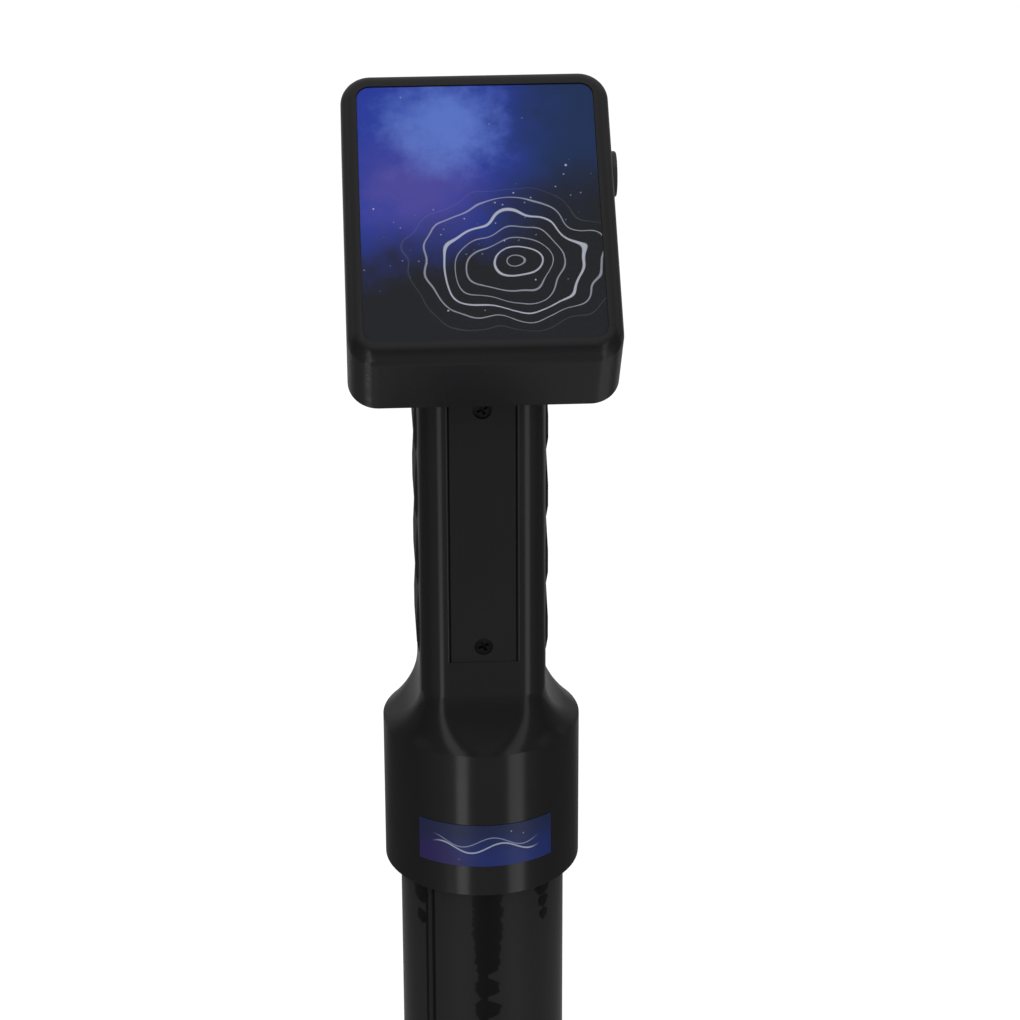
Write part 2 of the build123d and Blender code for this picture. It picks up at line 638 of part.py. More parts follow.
# Head: front shell with the film's recess, screw bosses and board posts
cavity_depth = HEAD_T - FACE_WALL - BACK_THICKNESS
cavity_top = HEAD_T - FACE_WALL
board_top = cavity_top - STANDOFF
board_under = board_top - BOARD_T
boss_spacing_x = HEAD_W - 2 * BOSS_INSET
boss_spacing_y = HEAD_H - 2 * BOSS_INSET
board_spacing_x = BOARD_W - 2 * BOARD_SCREW_INSET
board_spacing_y = BOARD_H - 2 * BOARD_SCREW_INSET
film_recess = FILM_THICKNESS + FILM_SUNK
with BuildPart() as head_case:
    with BuildSketch(head_plane):
        RectangleRounded(HEAD_W, HEAD_H, HEAD_CORNER)
    extrude(amount=HEAD_T)
    fillet(head_case.faces().sort_by(head_axis)[-1].edges(), radius=HEAD_EDGE)
    fillet(head_case.faces().sort_by(head_axis)[0].edges(), radius=HEAD_BACK_EDGE)
    with BuildSketch(head_plane):
        RectangleRounded(HEAD_W - 2 * BACK_LIP, HEAD_H - 2 * BACK_LIP, HEAD_CORNER - BACK_LIP)
    extrude(amount=BACK_THICKNESS, mode=Mode.SUBTRACT)
    with BuildSketch(head_level(BACK_THICKNESS)):
        RectangleRounded(HEAD_W - 2 * HEAD_WALL, HEAD_H - 2 * HEAD_WALL, HEAD_CORNER - HEAD_WALL)
        with GridLocations(boss_spacing_x, boss_spacing_y, 2, 2):
            Circle(BOSS_R, mode=Mode.SUBTRACT)
    extrude(amount=cavity_depth, mode=Mode.SUBTRACT)
    with BuildSketch(head_level(BACK_THICKNESS)):
        with GridLocations(boss_spacing_x, boss_spacing_y, 2, 2):
            Circle(CASE_SCREW[0] + THREAD_CLEARANCE)
    extrude(amount=CASE_SCREW_LENGTH, mode=Mode.SUBTRACT)
    with BuildSketch(head_level(board_top)):
        with GridLocations(board_spacing_x, board_spacing_y, 2, 2):
            Circle(STANDOFF_R)
            Circle(BOARD_SCREW[0] + THREAD_CLEARANCE, mode=Mode.SUBTRACT)
    extrude(amount=STANDOFF)
    with BuildSketch(head_level(HEAD_T)):
        RectangleRounded(FILM_W + 2 * SLIP, FILM_H + 2 * SLIP, FILM_CORNER)
    extrude(amount=-film_recess, mode=Mode.SUBTRACT)
    with BuildSketch(button_plane):
        Circle(BUTTON_BARREL_R + HOLE_CLEARANCE)
    extrude(amount=-2 * HEAD_WALL, mode=Mode.SUBTRACT)

# Printed film on the face
with BuildPart() as face_film:
    with BuildSketch(head_level(HEAD_T - film_recess)):
        RectangleRounded(FILM_W, FILM_H, FILM_CORNER - SLIP)
    extrude(amount=FILM_THICKNESS)

# Back cover, which sits on the grip's top, with an opening for the cable and the leads
opening_low = upright_in_head(lead_y, 0) - OPENING_ROOM
opening_high = upright_in_head(CABLE_Y, BACK_THICKNESS) + OPENING_ROOM
with BuildPart(head_plane) as head_back_cover:
    with BuildSketch(head_plane):
        RectangleRounded(
            HEAD_W - 2 * BACK_LIP - 2 * SLIP, HEAD_H - 2 * BACK_LIP - 2 * SLIP, HEAD_CORNER - BACK_LIP - SLIP
        )
        with Locations((0, (opening_low + opening_high) / 2)):
            RectangleRounded(
                2 * lead_x + 2 * OPENING_SIDE, opening_high - opening_low, OPENING_CORNER, mode=Mode.SUBTRACT
            )
        with Locations((0, NECK_SCREW_SHIFT)):
            with GridLocations(NECK_SCREW_SPACING_X, NECK_SCREW_SPACING_Y, 2, 2):
                Circle(NECK_SCREW[0] + HOLE_CLEARANCE, mode=Mode.SUBTRACT)
    extrude(amount=BACK_THICKNESS)
    with GridLocations(boss_spacing_x, boss_spacing_y, 2, 2):
        with Locations(Rotation(180, 0, 0)):
            flush_hole(CASE_SCREW, BACK_THICKNESS)

with BuildPart(head_plane) as back_cover_screws:
    with GridLocations(boss_spacing_x, boss_spacing_y, 2, 2):
        with Locations(Rotation(180, 0, 0)):
            flush_screw(CASE_SCREW, CASE_SCREW_LENGTH)

neck_screw_length = NECK_SCREW_GRIP + BACK_THICKNESS
with BuildPart(head_level(BACK_THICKNESS)) as head_neck_screws:
    with Locations((0, NECK_SCREW_SHIFT, 0)):
        with GridLocations(NECK_SCREW_SPACING_X, NECK_SCREW_SPACING_Y, 2, 2):
            pan_screw(NECK_SCREW, neck_screw_length)

# Circuit board under the face, with its parts on the side that looks back
with BuildPart() as main_board:
    with BuildSketch(head_level(board_under)):
        RectangleRounded(BOARD_W, BOARD_H, BOARD_CORNER)
        with GridLocations(board_spacing_x, board_spacing_y, 2, 2):
            Circle(BOARD_SCREW[0] + HOLE_CLEARANCE, mode=Mode.SUBTRACT)
    extrude(amount=BOARD_T)

with BuildPart(head_level(board_under)) as board_screws:
    with GridLocations(board_spacing_x, board_spacing_y, 2, 2):
        with Locations(Rotation(180, 0, 0)):
            pan_screw(BOARD_SCREW, BOARD_SCREW_LENGTH)


def on_board(size, place):
    """A block on the board's underside."""
    with BuildSketch(head_level(board_under)) as footprint:
        with Locations(place):
            RectangleRounded(size[0], size[1], min(size[0], size[1]) / 10)
    extrude(footprint.sketch, amount=-size[2])


with BuildPart() as radio_module:
    on_board(RADIO_SIZE, RADIO_PLACE)

with BuildPart() as board_chips:
    on_board(PROCESSOR_SIZE, PROCESSOR_PLACE)
    on_board(CONVERTER_SIZE, CONVERTER_PLACE)
    on_board(REGULATOR_SIZE, REGULATOR_PLACE)

cable_up = upright_in_head(CABLE_Y, CABLE_CORNER_H)
lead_up = upright_in_head(lead_y, LEAD_CORNER_H)
with BuildPart() as board_connectors:
    on_board(BATTERY_BLOCK, (0, lead_up))
    on_board(SENSOR_BLOCK, (0, cable_up))
    on_board(SWITCH_BLOCK, (SWITCH_BLOCK_X, BUTTON_UP))


def wire(radius, bend, start, *points):
    """A round wire from start through the points, with one bend radius."""
    heading = Vector(points[0]) - Vector(start)
    with BuildLine() as route:
        FilletPolyline(start, *points, radius=bend)
    with BuildSketch(Plane(origin=start, z_dir=heading)) as section:
        Circle(radius)
    sweep(section.sketch, path=route.wires()[0])


with BuildPart() as sensor_cable:
    wire(
        CABLE_R,
        CABLE_BEND,
        (0, CABLE_Y, lower_sensor_top + CABLE_TAIL),
        head_point(0, cable_up, CABLE_CORNER_H),
        head_point(0, cable_up, board_under - SENSOR_BLOCK[2]),
    )

with BuildPart() as battery_leads:
    for x, start_z in ((lead_x, bay_bottom + CONTACT_T), (-lead_x, bay_top)):
        wire(
            LEAD_R,
            LEAD_BEND,
            (x, lead_y, start_z),
            head_point(x, lead_up, LEAD_CORNER_H),
            head_point(x, lead_up, board_under - BATTERY_BLOCK[2]),
        )

# Power button: flanged bush, cap, spring, base with its pins, and the nut behind the wall
barrel_bore = BUTTON_BARREL_R - BUTTON_BARREL_WALL
lip_under = BUTTON_FLANGE_T - BUTTON_LIP_T
with BuildPart() as power_button_body:
    with BuildSketch(button_plane):
        Circle(BUTTON_FLANGE_R)
    extrude(amount=BUTTON_FLANGE_T)
    chamfer(power_button_body.edges().group_by(Axis.X)[-1], length=BUTTON_FLANGE_EDGE)
    with BuildSketch(button_plane):
        Circle(BUTTON_BARREL_R)
    extrude(amount=-BUTTON_BARREL_LENGTH)
    with BuildSketch(button_plane.offset(-BUTTON_BARREL_LENGTH)):
        Circle(barrel_bore)
    extrude(amount=BUTTON_BARREL_LENGTH + lip_under, mode=Mode.SUBTRACT)
    with BuildSketch(button_plane):
        Circle(BUTTON_TOP_R + RUN_CLEARANCE)
    extrude(amount=BUTTON_FLANGE_T, mode=Mode.SUBTRACT)

skirt_top = lip_under - END_CLEARANCE
skirt_bottom = skirt_top - BUTTON_SKIRT
cap_height = BUTTON_FLANGE_T + BUTTON_PROUD
with BuildPart() as power_button_cap:
    with BuildSketch(button_plane.offset(skirt_bottom)):
        Circle(barrel_bore - RUN_CLEARANCE)
    extrude(amount=BUTTON_SKIRT)
    with BuildSketch(button_plane.offset(skirt_bottom)):
        Circle(BUTTON_TOP_R)
    extrude(amount=cap_height - skirt_bottom)
    fillet(power_button_cap.edges().group_by(Axis.X)[-1], radius=BUTTON_TOP_EDGE)
    with BuildSketch(button_plane.offset(skirt_bottom)):
        Circle(BUTTON_STEM_R)
    extrude(amount=-BUTTON_STEM_LENGTH)

base_top = BUTTON_BASE_PLUG - BUTTON_BARREL_LENGTH
base_bottom = -BUTTON_BARREL_LENGTH - BUTTON_BASE_LENGTH
stem_reach = skirt_bottom - BUTTON_STEM_LENGTH - BUTTON_TRAVEL - SLIP
with BuildPart() as power_button_base:
    with BuildSketch(button_plane.offset(-BUTTON_BARREL_LENGTH)):
        Circle(BUTTON_BASE_R)
    extrude(amount=-BUTTON_BASE_LENGTH)
    with BuildSketch(button_plane.offset(-BUTTON_BARREL_LENGTH)):
        Circle(barrel_bore - END_CLEARANCE)
    extrude(amount=BUTTON_BASE_PLUG)
    with BuildSketch(button_plane.offset(base_top)):
        Circle(BUTTON_STEM_R + RUN_CLEARANCE)
    extrude(amount=stem_reach - base_top, mode=Mode.SUBTRACT)

spring_low = base_top + SPRING_WIRE_R + END_CLEARANCE
spring_high = skirt_bottom - SPRING_WIRE_R - END_CLEARANCE
spring_length = spring_high - spring_low
with BuildPart() as power_button_spring:
    with BuildLine() as coil:
        Helix(
            pitch=spring_length / SPRING_TURNS,
            height=spring_length,
            radius=SPRING_R,
            center=button_plane.offset(spring_low).origin,
            direction=button_plane.z_dir,
        )
    with BuildSketch(Plane(origin=coil.line @ 0, z_dir=coil.line % 0)):
        Circle(SPRING_WIRE_R)
    sweep(path=coil.line, is_frenet=True)

with BuildPart() as power_button_nut:
    with BuildSketch(button_plane.offset(-HEAD_WALL)):
        RegularPolygon(NUT_FLATS / 2, 6, major_radius=False)
        Circle(BUTTON_BARREL_R + THREAD_CLEARANCE, mode=Mode.SUBTRACT)
    extrude(amount=-NUT_THICKNESS)

with BuildPart() as power_button_terminals:
    with BuildSketch(button_plane.offset(base_bottom)):
        with GridLocations(TERMINAL_SPACING, 0, 2, 1):
            Rectangle(TERMINAL_SIZE[0], TERMINAL_SIZE[1])
    extrude(amount=-TERMINAL_SIZE[2])

terminal_x = HEAD_W / 2 + base_bottom - TERMINAL_SIZE[2]
with BuildPart() as switch_leads:
    for side in (-1, 1):
        up = BUTTON_UP + side * TERMINAL_SPACING / 2
        lead_foot = SWITCH_BLOCK_X
        wire(
            SWITCH_LEAD_R,
            SWITCH_LEAD_BEND,
            head_point(terminal_x, up, BUTTON_LEVEL),
            head_point(lead_foot, up, BUTTON_LEVEL),
            head_point(lead_foot, up, board_under - SWITCH_BLOCK[2]),
        )

pieces = {
    "sensor_tube": sensor_tube,
    "tube_wrap": tube_wrap,
    "tube_end_cap": tube_end_cap,
    "end_cap_seal": end_cap_seal,
    "tube_top_plug": tube_top_plug,
    "cable_grommet": cable_grommet,
    "sensor_carrier": sensor_carrier,
    "lower_sensor": sensors["lower_sensor"],
    "upper_sensor": sensors["upper_sensor"],
    "sensor_clamps": sensor_clamps,
    "carrier_spacers": carrier_spacers,
    "sensor_cable": sensor_cable,
    "handle_body": handle_body,
    "rear_finger_grip": rear_finger_grip,
    "tube_lock_screws": tube_lock_screws,
    "collar_label": collar_label,
    "battery_cover": battery_cover,
    "battery_cover_screws": battery_cover_screws,
    "battery_cover_inserts": battery_cover_inserts,
    "battery_cell": battery_cell,
    "battery_contact_bottom": battery_contact_bottom,
    "battery_contact_top": battery_contact_top,
    "battery_leads": battery_leads,
    "head_case": head_case,
    "face_film": face_film,
    "head_back_cover": head_back_cover,
    "back_cover_screws": back_cover_screws,
    "head_neck_screws": head_neck_screws,
    "main_board": main_board,
    "board_screws": board_screws,
    "radio_module": radio_module,
    "board_chips": board_chips,
    "board_connectors": board_connectors,
    "power_button_body": power_button_body,
    "power_button_cap": power_button_cap,
    "power_button_base": power_button_base,
    "power_button_spring": power_button_spring,
    "power_button_nut": power_button_nut,
    "power_button_terminals": power_button_terminals,
    "switch_leads": switch_leads,
}
for name, piece in pieces.items():
    piece.part.label = name
    export_step(piece.part, f"parts/{name}.step")
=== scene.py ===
"""Looks of an upright ground scanner: finishes, wrap seam, return spring, camera and studio."""

import math

import bpy
from bpy.props import FloatProperty, FloatVectorProperty, PointerProperty
from mathutils import Matrix, Vector


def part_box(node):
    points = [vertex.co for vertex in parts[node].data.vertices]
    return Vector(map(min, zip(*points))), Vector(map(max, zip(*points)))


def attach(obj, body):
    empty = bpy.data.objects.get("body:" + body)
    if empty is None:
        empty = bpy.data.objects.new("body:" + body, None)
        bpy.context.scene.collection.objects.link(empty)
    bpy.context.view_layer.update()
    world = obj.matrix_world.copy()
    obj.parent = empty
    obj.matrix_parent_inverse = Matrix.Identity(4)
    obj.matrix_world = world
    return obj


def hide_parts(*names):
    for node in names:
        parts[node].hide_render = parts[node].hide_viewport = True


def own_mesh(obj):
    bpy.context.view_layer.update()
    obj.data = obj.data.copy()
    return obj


bl_info = {
    "name": "Ground scanner looks",
    "version": (1, 0, 0),
    "blender": (4, 5, 0),
    "location": "3D View > Sidebar > Scanner",
    "description": "Finishes, wrap seam, return spring, camera and studio for the packed ground scanner",
    "category": "Object",
}

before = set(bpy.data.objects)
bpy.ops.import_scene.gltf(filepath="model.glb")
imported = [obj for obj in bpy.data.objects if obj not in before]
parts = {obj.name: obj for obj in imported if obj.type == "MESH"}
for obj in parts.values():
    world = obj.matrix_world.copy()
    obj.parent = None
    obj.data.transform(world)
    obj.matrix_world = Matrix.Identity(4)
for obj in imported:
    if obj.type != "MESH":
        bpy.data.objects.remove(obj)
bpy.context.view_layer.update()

# Pixels along one side of the picture
PICTURE_SIDE = 1020
# Millimetres in a metre
MILLIMETRES = 1000.0
# Words of a shader's socket names that are not just capitalised
TITLES = {"ior": "IOR"}


def colour_prop(name, description, default):
    return FloatVectorProperty(
        name=name, description=description, default=default, subtype="COLOR", min=0.0, max=1.0, size=3
    )


def length_prop(name, description, default):
    return FloatProperty(name=name, description=description, default=default, unit="LENGTH", precision=5)


def angle_prop(name, description, degrees):
    return FloatProperty(
        name=name, description=description, default=math.radians(degrees), subtype="ANGLE", unit="ROTATION"
    )


def power_prop(name, description, default):
    return FloatProperty(name=name, description=description, default=default, unit="POWER")


def share_prop(name, description, default):
    return FloatProperty(
        name=name, description=description, default=default, subtype="FACTOR", min=0.0, max=1.0
    )


# Settings that a user would change


class StudioSettings(bpy.types.PropertyGroup):
    """Where the camera stands and how bright the studio is."""

    camera_place: FloatVectorProperty(
        name="Camera place",
        description="Where the camera stands",
        default=(-0.0421217, -0.9463853, 1.0353180),
        subtype="TRANSLATION",
        unit="LENGTH",
        size=3,
        precision=5,
    )
    camera_pitch: angle_prop("Camera pitch", "How far the camera looks down", 23.9226)
    camera_yaw: angle_prop("Camera yaw", "How far the camera turns to the right", 3.1059)
    camera_roll: angle_prop("Camera roll", "How far the camera leans", -0.1776)
    camera_lens: FloatProperty(
        name="Lens", description="Focal length on a 36 mm wide picture", default=122.32, unit="CAMERA"
    )
    floor_colour: colour_prop("Floor colour", "Plain pale floor and background", (1.0, 1.0, 1.0))
    ambient: share_prop("Ambient light", "Soft light that the room gives to matt colour", 0.44)
    floor_bounce: share_prop("Floor bounce", "Light that the pale floor gives to matt colour", 0.70)
    floor_gloss: share_prop("Floor in the gloss", "How bright the floor is where it is mirrored", 0.056)
    room_gloss: share_prop("Room in the gloss", "How bright the dim walls are where they are mirrored", 0.024)
    top_gloss: share_prop("Ceiling in the gloss", "How bright the ceiling is where it is mirrored", 0.336)
    key_power: power_prop("Key lamp", "Power of the lamp in front on the left", 10.0)
    fill_power: power_prop("Fill lamp", "Power of the lamp in front on the right", 6.0)
    rear_power: power_prop("Rear lamp", "Power of the lamp behind", 6.0)
    top_power: power_prop("Top lamp", "Power of the lamp overhead", 6.0)
    card_distance: length_prop("Card distance", "How far the bright cards stand from the scanner", 0.75)


class ShellSettings(bpy.types.PropertyGroup):
    """Black printed shells, the finger pad and the button."""

    head_tilt: angle_prop("Head tilt", "How far the head leans back", 38.4)
    plastic_colour: colour_prop("Plastic", "Satin black of the printed shells", (0.0105, 0.0103, 0.0112))
    plastic_roughness: share_prop("Plastic roughness", "How dull the shells are", 0.18)
    layer_height: length_prop("Layer height", "Height of one group of print layers", 0.0008)
    corner_across: length_prop("Corner across", "How far out the head's coarse lower corners start", 0.031)
    # This light line is a painted highlight, lightened into the corners' colour
    corner_highlight_line: length_prop("Corner line", "How far out the coarse light line of those corners runs", 0.0330)
    corner_down: length_prop("Corner down", "How far down the head's coarse lower corners start", 0.040)
    # Around this depth the head's colour turns paler, as painted light from below
    lower_wall: length_prop("Lower wall", "How far down the head's lower wall lies", 0.048)
    pad_colour: colour_prop("Finger pad", "Rubbery black of the finger pad", (0.0120, 0.0118, 0.0124))
    button_colour: colour_prop("Button", "Dark grey of the push button", (0.0340, 0.0335, 0.0342))


class FilmSettings(bpy.types.PropertyGroup):
    """Printed film on the face and the label on the collar."""

    charcoal: colour_prop("Charcoal", "Dark ground of the film", (0.0062, 0.0072, 0.0100))
    blue: colour_prop("Blue", "Main blue of the film", (0.0040, 0.0250, 0.2850))
    teal: colour_prop("Teal", "Quieter blue of the film's right side", (0.0015, 0.0175, 0.0780))
    violet: colour_prop("Violet", "Violet clouds of the film", (0.0620, 0.0480, 0.2800))
    glow: colour_prop("Glow", "Brightest cloud of the film", (0.0800, 0.1500, 0.5150))
    line: colour_prop("Line", "Pale contour lines and specks", (0.5200, 0.5500, 0.6500))
    label_blue: colour_prop("Label blue", "Blue of the collar label", (0.0060, 0.0190, 0.1350))
    label_violet: colour_prop("Label violet", "Violet of the collar label", (0.0200, 0.0115, 0.0950))
    label_slate: colour_prop("Label slate", "Slate at the label's upper edge", (0.0080, 0.0150, 0.0480))


class WrapSettings(bpy.types.PropertyGroup):
    """Clear film round the tube."""

    haze_colour: colour_prop("Hazy film", "Film that lies loosely on the tube", (0.0156, 0.0153, 0.0162))
    contact_colour: colour_prop("Clinging film", "Film that clings to the tube", (0.0034, 0.0034, 0.0036))
    seam_angle: angle_prop("Seam place", "Middle of the seam, from the front to the left", 42.3)
    seam_width: length_prop("Seam width", "How far the film laps over itself", 0.0026)
    seam_thickness: length_prop("Seam thickness", "Thickness of the lap", 0.00012)


class InsideSettings(bpy.types.PropertyGroup):
    """Metals, board and battery."""

    steel: colour_prop("Screw steel", "Blackened steel of the screws", (0.0360, 0.0355, 0.0350))
    brass: colour_prop("Brass", "Brass of the inserts and pins", (0.6400, 0.4200, 0.1600))
    nickel: colour_prop("Nickel", "Nickel of the battery contacts", (0.6000, 0.5700, 0.5200))
    cell_sleeve: colour_prop("Cell sleeve", "Shrink sleeve of the cell", (0.0200, 0.1200, 0.2600))
    laminate: colour_prop("Laminate", "Lacquer of the circuit board", (0.0100, 0.0900, 0.0350))
    inner_grey: colour_prop("Inner plastic", "Grey plastic inside the tube", (0.2200, 0.2200, 0.2100))
    foam: colour_prop("Foam", "Foam of the spacers", (0.0500, 0.0500, 0.0550))
    rubber: colour_prop("Rubber", "Rubber of the seals", (0.0140, 0.0140, 0.0140))


# Materials written as Python expressions


class Value:
    """An output of a finish's nodes. Arithmetic on it adds Math nodes."""

    def __init__(self, finish, socket):
        self.finish = finish
        self.socket = socket

    def other(self, name):
        """Another output of the same node."""
        return Value(self.finish, pick(self.socket.node.outputs, name))

    def __add__(self, other):
        return self.finish.math("ADD", self, other)

    def __sub__(self, other):
        return self.finish.math("SUBTRACT", self, other)

    def __rsub__(self, other):
        return self.finish.math("SUBTRACT", other, self)

    def __mul__(self, other):
        return self.finish.math("MULTIPLY", self, other)

    def __truediv__(self, other):
        return self.finish.math("DIVIDE", self, other)

    def __gt__(self, other):
        return self.finish.math("GREATER_THAN", self, other)

    def __lt__(self, other):
        return self.finish.math("LESS_THAN", self, other)

    def __abs__(self):
        return self.finish.math("ABSOLUTE", self)

    __radd__ = __add__
    __rmul__ = __mul__

    def most(self, other):
        return self.finish.math("MAXIMUM", self, other)

    def root(self):
        return self.finish.math("SQRT", self)

    def part(self):
        """What is left after the whole number."""
        return self.finish.math("FRACT", self)

    def ramp(self, low, high):
        """0 below low, 1 above high and a smooth rise between."""
        return self.finish.add(
            "ShaderNodeMapRange",
            {"interpolation_type": "SMOOTHSTEP"},
            {"Value": self, "From Min": low, "From Max": high},
        )


def pick(sockets, key):
    """A node's socket by its number, identifier or name."""
    if isinstance(key, int):
        return sockets[key]
    for socket in sockets:
        if socket.identifier == key:
            return socket
    return sockets[key]


class Finish:
    """The node tree of a material or of the world, while it is put together."""

    def __init__(self, name, world=False):
        if world:
            self.block = bpy.data.worlds.new(name)
        else:
            self.block = bpy.data.materials.new(name)
        self.block.use_nodes = True
        self.tree = self.block.node_tree
        self.tree.nodes.clear()

    def add(self, kind, settings=None, inputs=None, output=0):
        """Add a node of this kind, set it up, feed its sockets and return one of its outputs."""
        node = self.tree.nodes.new(kind)
        for name, setting in (settings or {}).items():
            setattr(node, name, setting)
        for name, value in (inputs or {}).items():
            socket = pick(node.inputs, name)
            if isinstance(value, Value):
                self.tree.links.new(value.socket, socket)
            else:
                socket.default_value = value
        if not node.outputs:
            return None
        return Value(self, pick(node.outputs, output))

    def math(self, operation, *values):
        return self.add("ShaderNodeMath", {"operation": operation}, dict(enumerate(values)))

    def mix(self, share, low, high):
        """A colour that goes from low to high with share."""
        ends = {"Factor_Float": share, "A_Color": opaque(low), "B_Color": opaque(high)}
        return self.add("ShaderNodeMix", {"data_type": "RGBA"}, ends, "Result_Color")

    def place(self):
        """Where a point of the surface is, in metres."""
        return self.add("ShaderNodeTexCoord", output="Object")

    def mapped(self, vector, location=(0, 0, 0), rotation=(0, 0, 0), scale=(1, 1, 1)):
        turns = {"Vector": vector, "Location": location, "Rotation": rotation, "Scale": scale}
        return self.add("ShaderNodeMapping", None, turns)

    def split(self, vector):
        """The three coordinates of a vector."""
        x = self.add("ShaderNodeSeparateXYZ", None, {"Vector": vector})
        return x, x.other(1), x.other(2)

    def joined(self, x, y, z):
        return self.add("ShaderNodeCombineXYZ", None, {0: x, 1: y, 2: z})

    def noise(self, vector, scale, detail, roughness=0.5):
        grains = {"Vector": vector, "Scale": scale, "Detail": detail, "Roughness": roughness}
        return self.add("ShaderNodeTexNoise", None, grains)

    def cells(self, vector, scale):
        return self.add("ShaderNodeTexVoronoi", None, {"Vector": vector, "Scale": scale})

    def around(self, x, y):
        """Degrees round the upright axis, 0 at the front and rising to the right."""
        return self.math("ARCTAN2", x, 0 - y) * (180 / math.pi)

    def bump(self, height, distance, strength):
        ridges = {"Strength": strength, "Distance": distance, "Height": height}
        return self.add("ShaderNodeBump", None, ridges)

    def surface(self, **sockets):
        """Close the material with a Principled shader whose socket names are written with underscores."""
        named = {}
        for name, value in sockets.items():
            words = [TITLES.get(word, word.capitalize()) for word in name.split("_")]
            named[" ".join(words)] = value
        shader = self.add("ShaderNodeBsdfPrincipled", None, named)
        self.add("ShaderNodeOutputMaterial", None, {"Surface": shader})
        return self


def opaque(colour):
    """A colour with the alpha that Blender's colour sockets need."""
    if isinstance(colour, Value):
        return colour
    return (*colour[:3], 1.0)


def tint(colour, share):
    """A lighter or darker shade of a colour."""
    return tuple(channel * share for channel in colour[:3])


def dress(finish, *names):
    """Give CAD nodes a finish through their material slots."""
    for name in names:
        part = parts[name]
        if not part.material_slots:
            part.data.materials.append(finish.block)
        for slot in part.material_slots:
            slot.material = finish.block


def middle(name):
    low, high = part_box(name)
    return (low + high) / 2


def head_frame(finish, tilt, centre, scale=1.0):
    """Coordinates across, up and out of the leaning head, measured from a centre."""
    turn = Matrix.Rotation(-tilt, 3, "X")
    return finish.mapped(
        finish.place(), location=-(turn @ centre) * scale, rotation=(-tilt, 0, 0), scale=(scale, scale, scale)
    )


def printed_plastic(name, shell, roughness, tilt=0.0, head=False):
    """Satin printed plastic with faint layers, which lie square to the direction it was printed in."""
    colour = shell.plastic_colour
    finish = Finish(name)
    upright = finish.mapped(finish.place(), rotation=(-tilt, 0, 0))
    stretched = finish.mapped(upright, scale=(25, 25, 1 / shell.layer_height))
    layers = finish.noise(stretched, scale=1.0, detail=3.0, roughness=0.6)
    cloud = finish.noise(upright, scale=40.0, detail=3.0)
    grain = finish.noise(upright, scale=1600.0, detail=2.0)
    dull = roughness - 0.05 + 0.06 * cloud + 0.05 * layers
    shade = finish.mix(cloud, tint(colour, 0.92), tint(colour, 1.08))
    height = layers * 0.7 + grain * 0.3
    if head:
        shade, height = head_marks(finish, shell, upright, shade, height)
    relief = finish.bump(height, distance=0.000012, strength=0.6)
    return finish.surface(base_color=shade, roughness=dull, normal=relief)


def head_marks(finish, shell, upright, shade, height):
    """The head's lower wall painted paler as painted light from below, the ragged layers of its rounded lower
    corners, and a painted highlight line along each of those corners.
    """
    fade = 0.002
    raggedness = 16
    right_line_further_out = 0.0014
    line_start = shell.corner_down + 0.0045
    line_full = shell.corner_down + 0.0075
    colour = shell.plastic_colour
    across, up = finish.split(head_frame(finish, shell.head_tilt, middle("face_film")))[:2]
    down = 0 - up
    # Painted light: the downward-facing lower wall is painted paler, in place of light from the floor below
    wall = down.ramp(shell.lower_wall - 0.003, shell.lower_wall + fade)
    shade = finish.mix(wall, shade, tint(colour, 1.34))
    corner = abs(across).ramp(shell.corner_across, shell.corner_across + fade)
    corner = corner * down.ramp(shell.corner_down, shell.corner_down + fade)
    stretched = finish.mapped(upright, scale=(400, 400, 2 / shell.layer_height))
    dashes = finish.noise(stretched, scale=1.0, detail=3.0, roughness=0.7)
    height = height + corner * dashes * raggedness
    # Painted highlight: a light line painted along each rounded lower corner, broken up by the layer dashes
    # and blotches, and fainter on the right
    right = across > 0.0
    line = 1 - abs(abs(across) - shell.corner_highlight_line - right_line_further_out * right).ramp(0.0002, 0.0014)
    line = line * down.ramp(line_start, line_full) * (1 - 0.45 * right)
    blotch = finish.noise(upright, scale=260.0, detail=2.0).ramp(0.35, 0.65)
    coarse = line * dashes.ramp(0.30, 0.62) * (0.35 + 0.65 * blotch)
    shade = finish.mix(coarse, shade, tint(colour, 4.6))
    return shade, height


def specks(finish, place, cell, radius, share):
    """Round specks of mixed brightness, at most one in a square cell and only in a share of the cells."""
    spot = finish.cells(place, scale=1 / cell)
    luck = finish.split(spot.other("Color"))[0]
    dot = 1 - (spot * cell).ramp(0.35 * radius, radius)
    return dot * luck.ramp(1 - share, 1.0)


# Operators, one for each piece or group of pieces


class SCANNER_OT_camera(bpy.types.Operator):
    """Stand the camera where the picture was taken"""

    bl_idname = "scanner.camera"
    bl_label = "Camera"

    def execute(self, context):
        studio = context.scene.scanner_studio
        pitch = studio.camera_pitch
        yaw = studio.camera_yaw
        roll = studio.camera_roll
        ahead = Vector((math.sin(yaw) * math.cos(pitch), math.cos(yaw) * math.cos(pitch), -math.sin(pitch)))
        level = Vector((math.cos(yaw), -math.sin(yaw), 0))
        upward = level.cross(ahead)
        right = level * math.cos(roll) + upward * math.sin(roll)
        up = upward * math.cos(roll) - level * math.sin(roll)
        half_pixel = 0.5 / PICTURE_SIDE
        lens = bpy.data.cameras.new("camera")
        lens.sensor_width = 36.0
        lens.lens = studio.camera_lens
        lens.shift_x = -half_pixel
        lens.shift_y = half_pixel
        lens.clip_start = 0.02
        camera = bpy.data.objects.new("camera", lens)
        turn = Matrix((right, up, -ahead)).transposed().to_4x4()
        camera.matrix_world = Matrix.Translation(studio.camera_place) @ turn
        context.scene.collection.objects.link(camera)
        context.scene.camera = camera
        return {"FINISHED"}


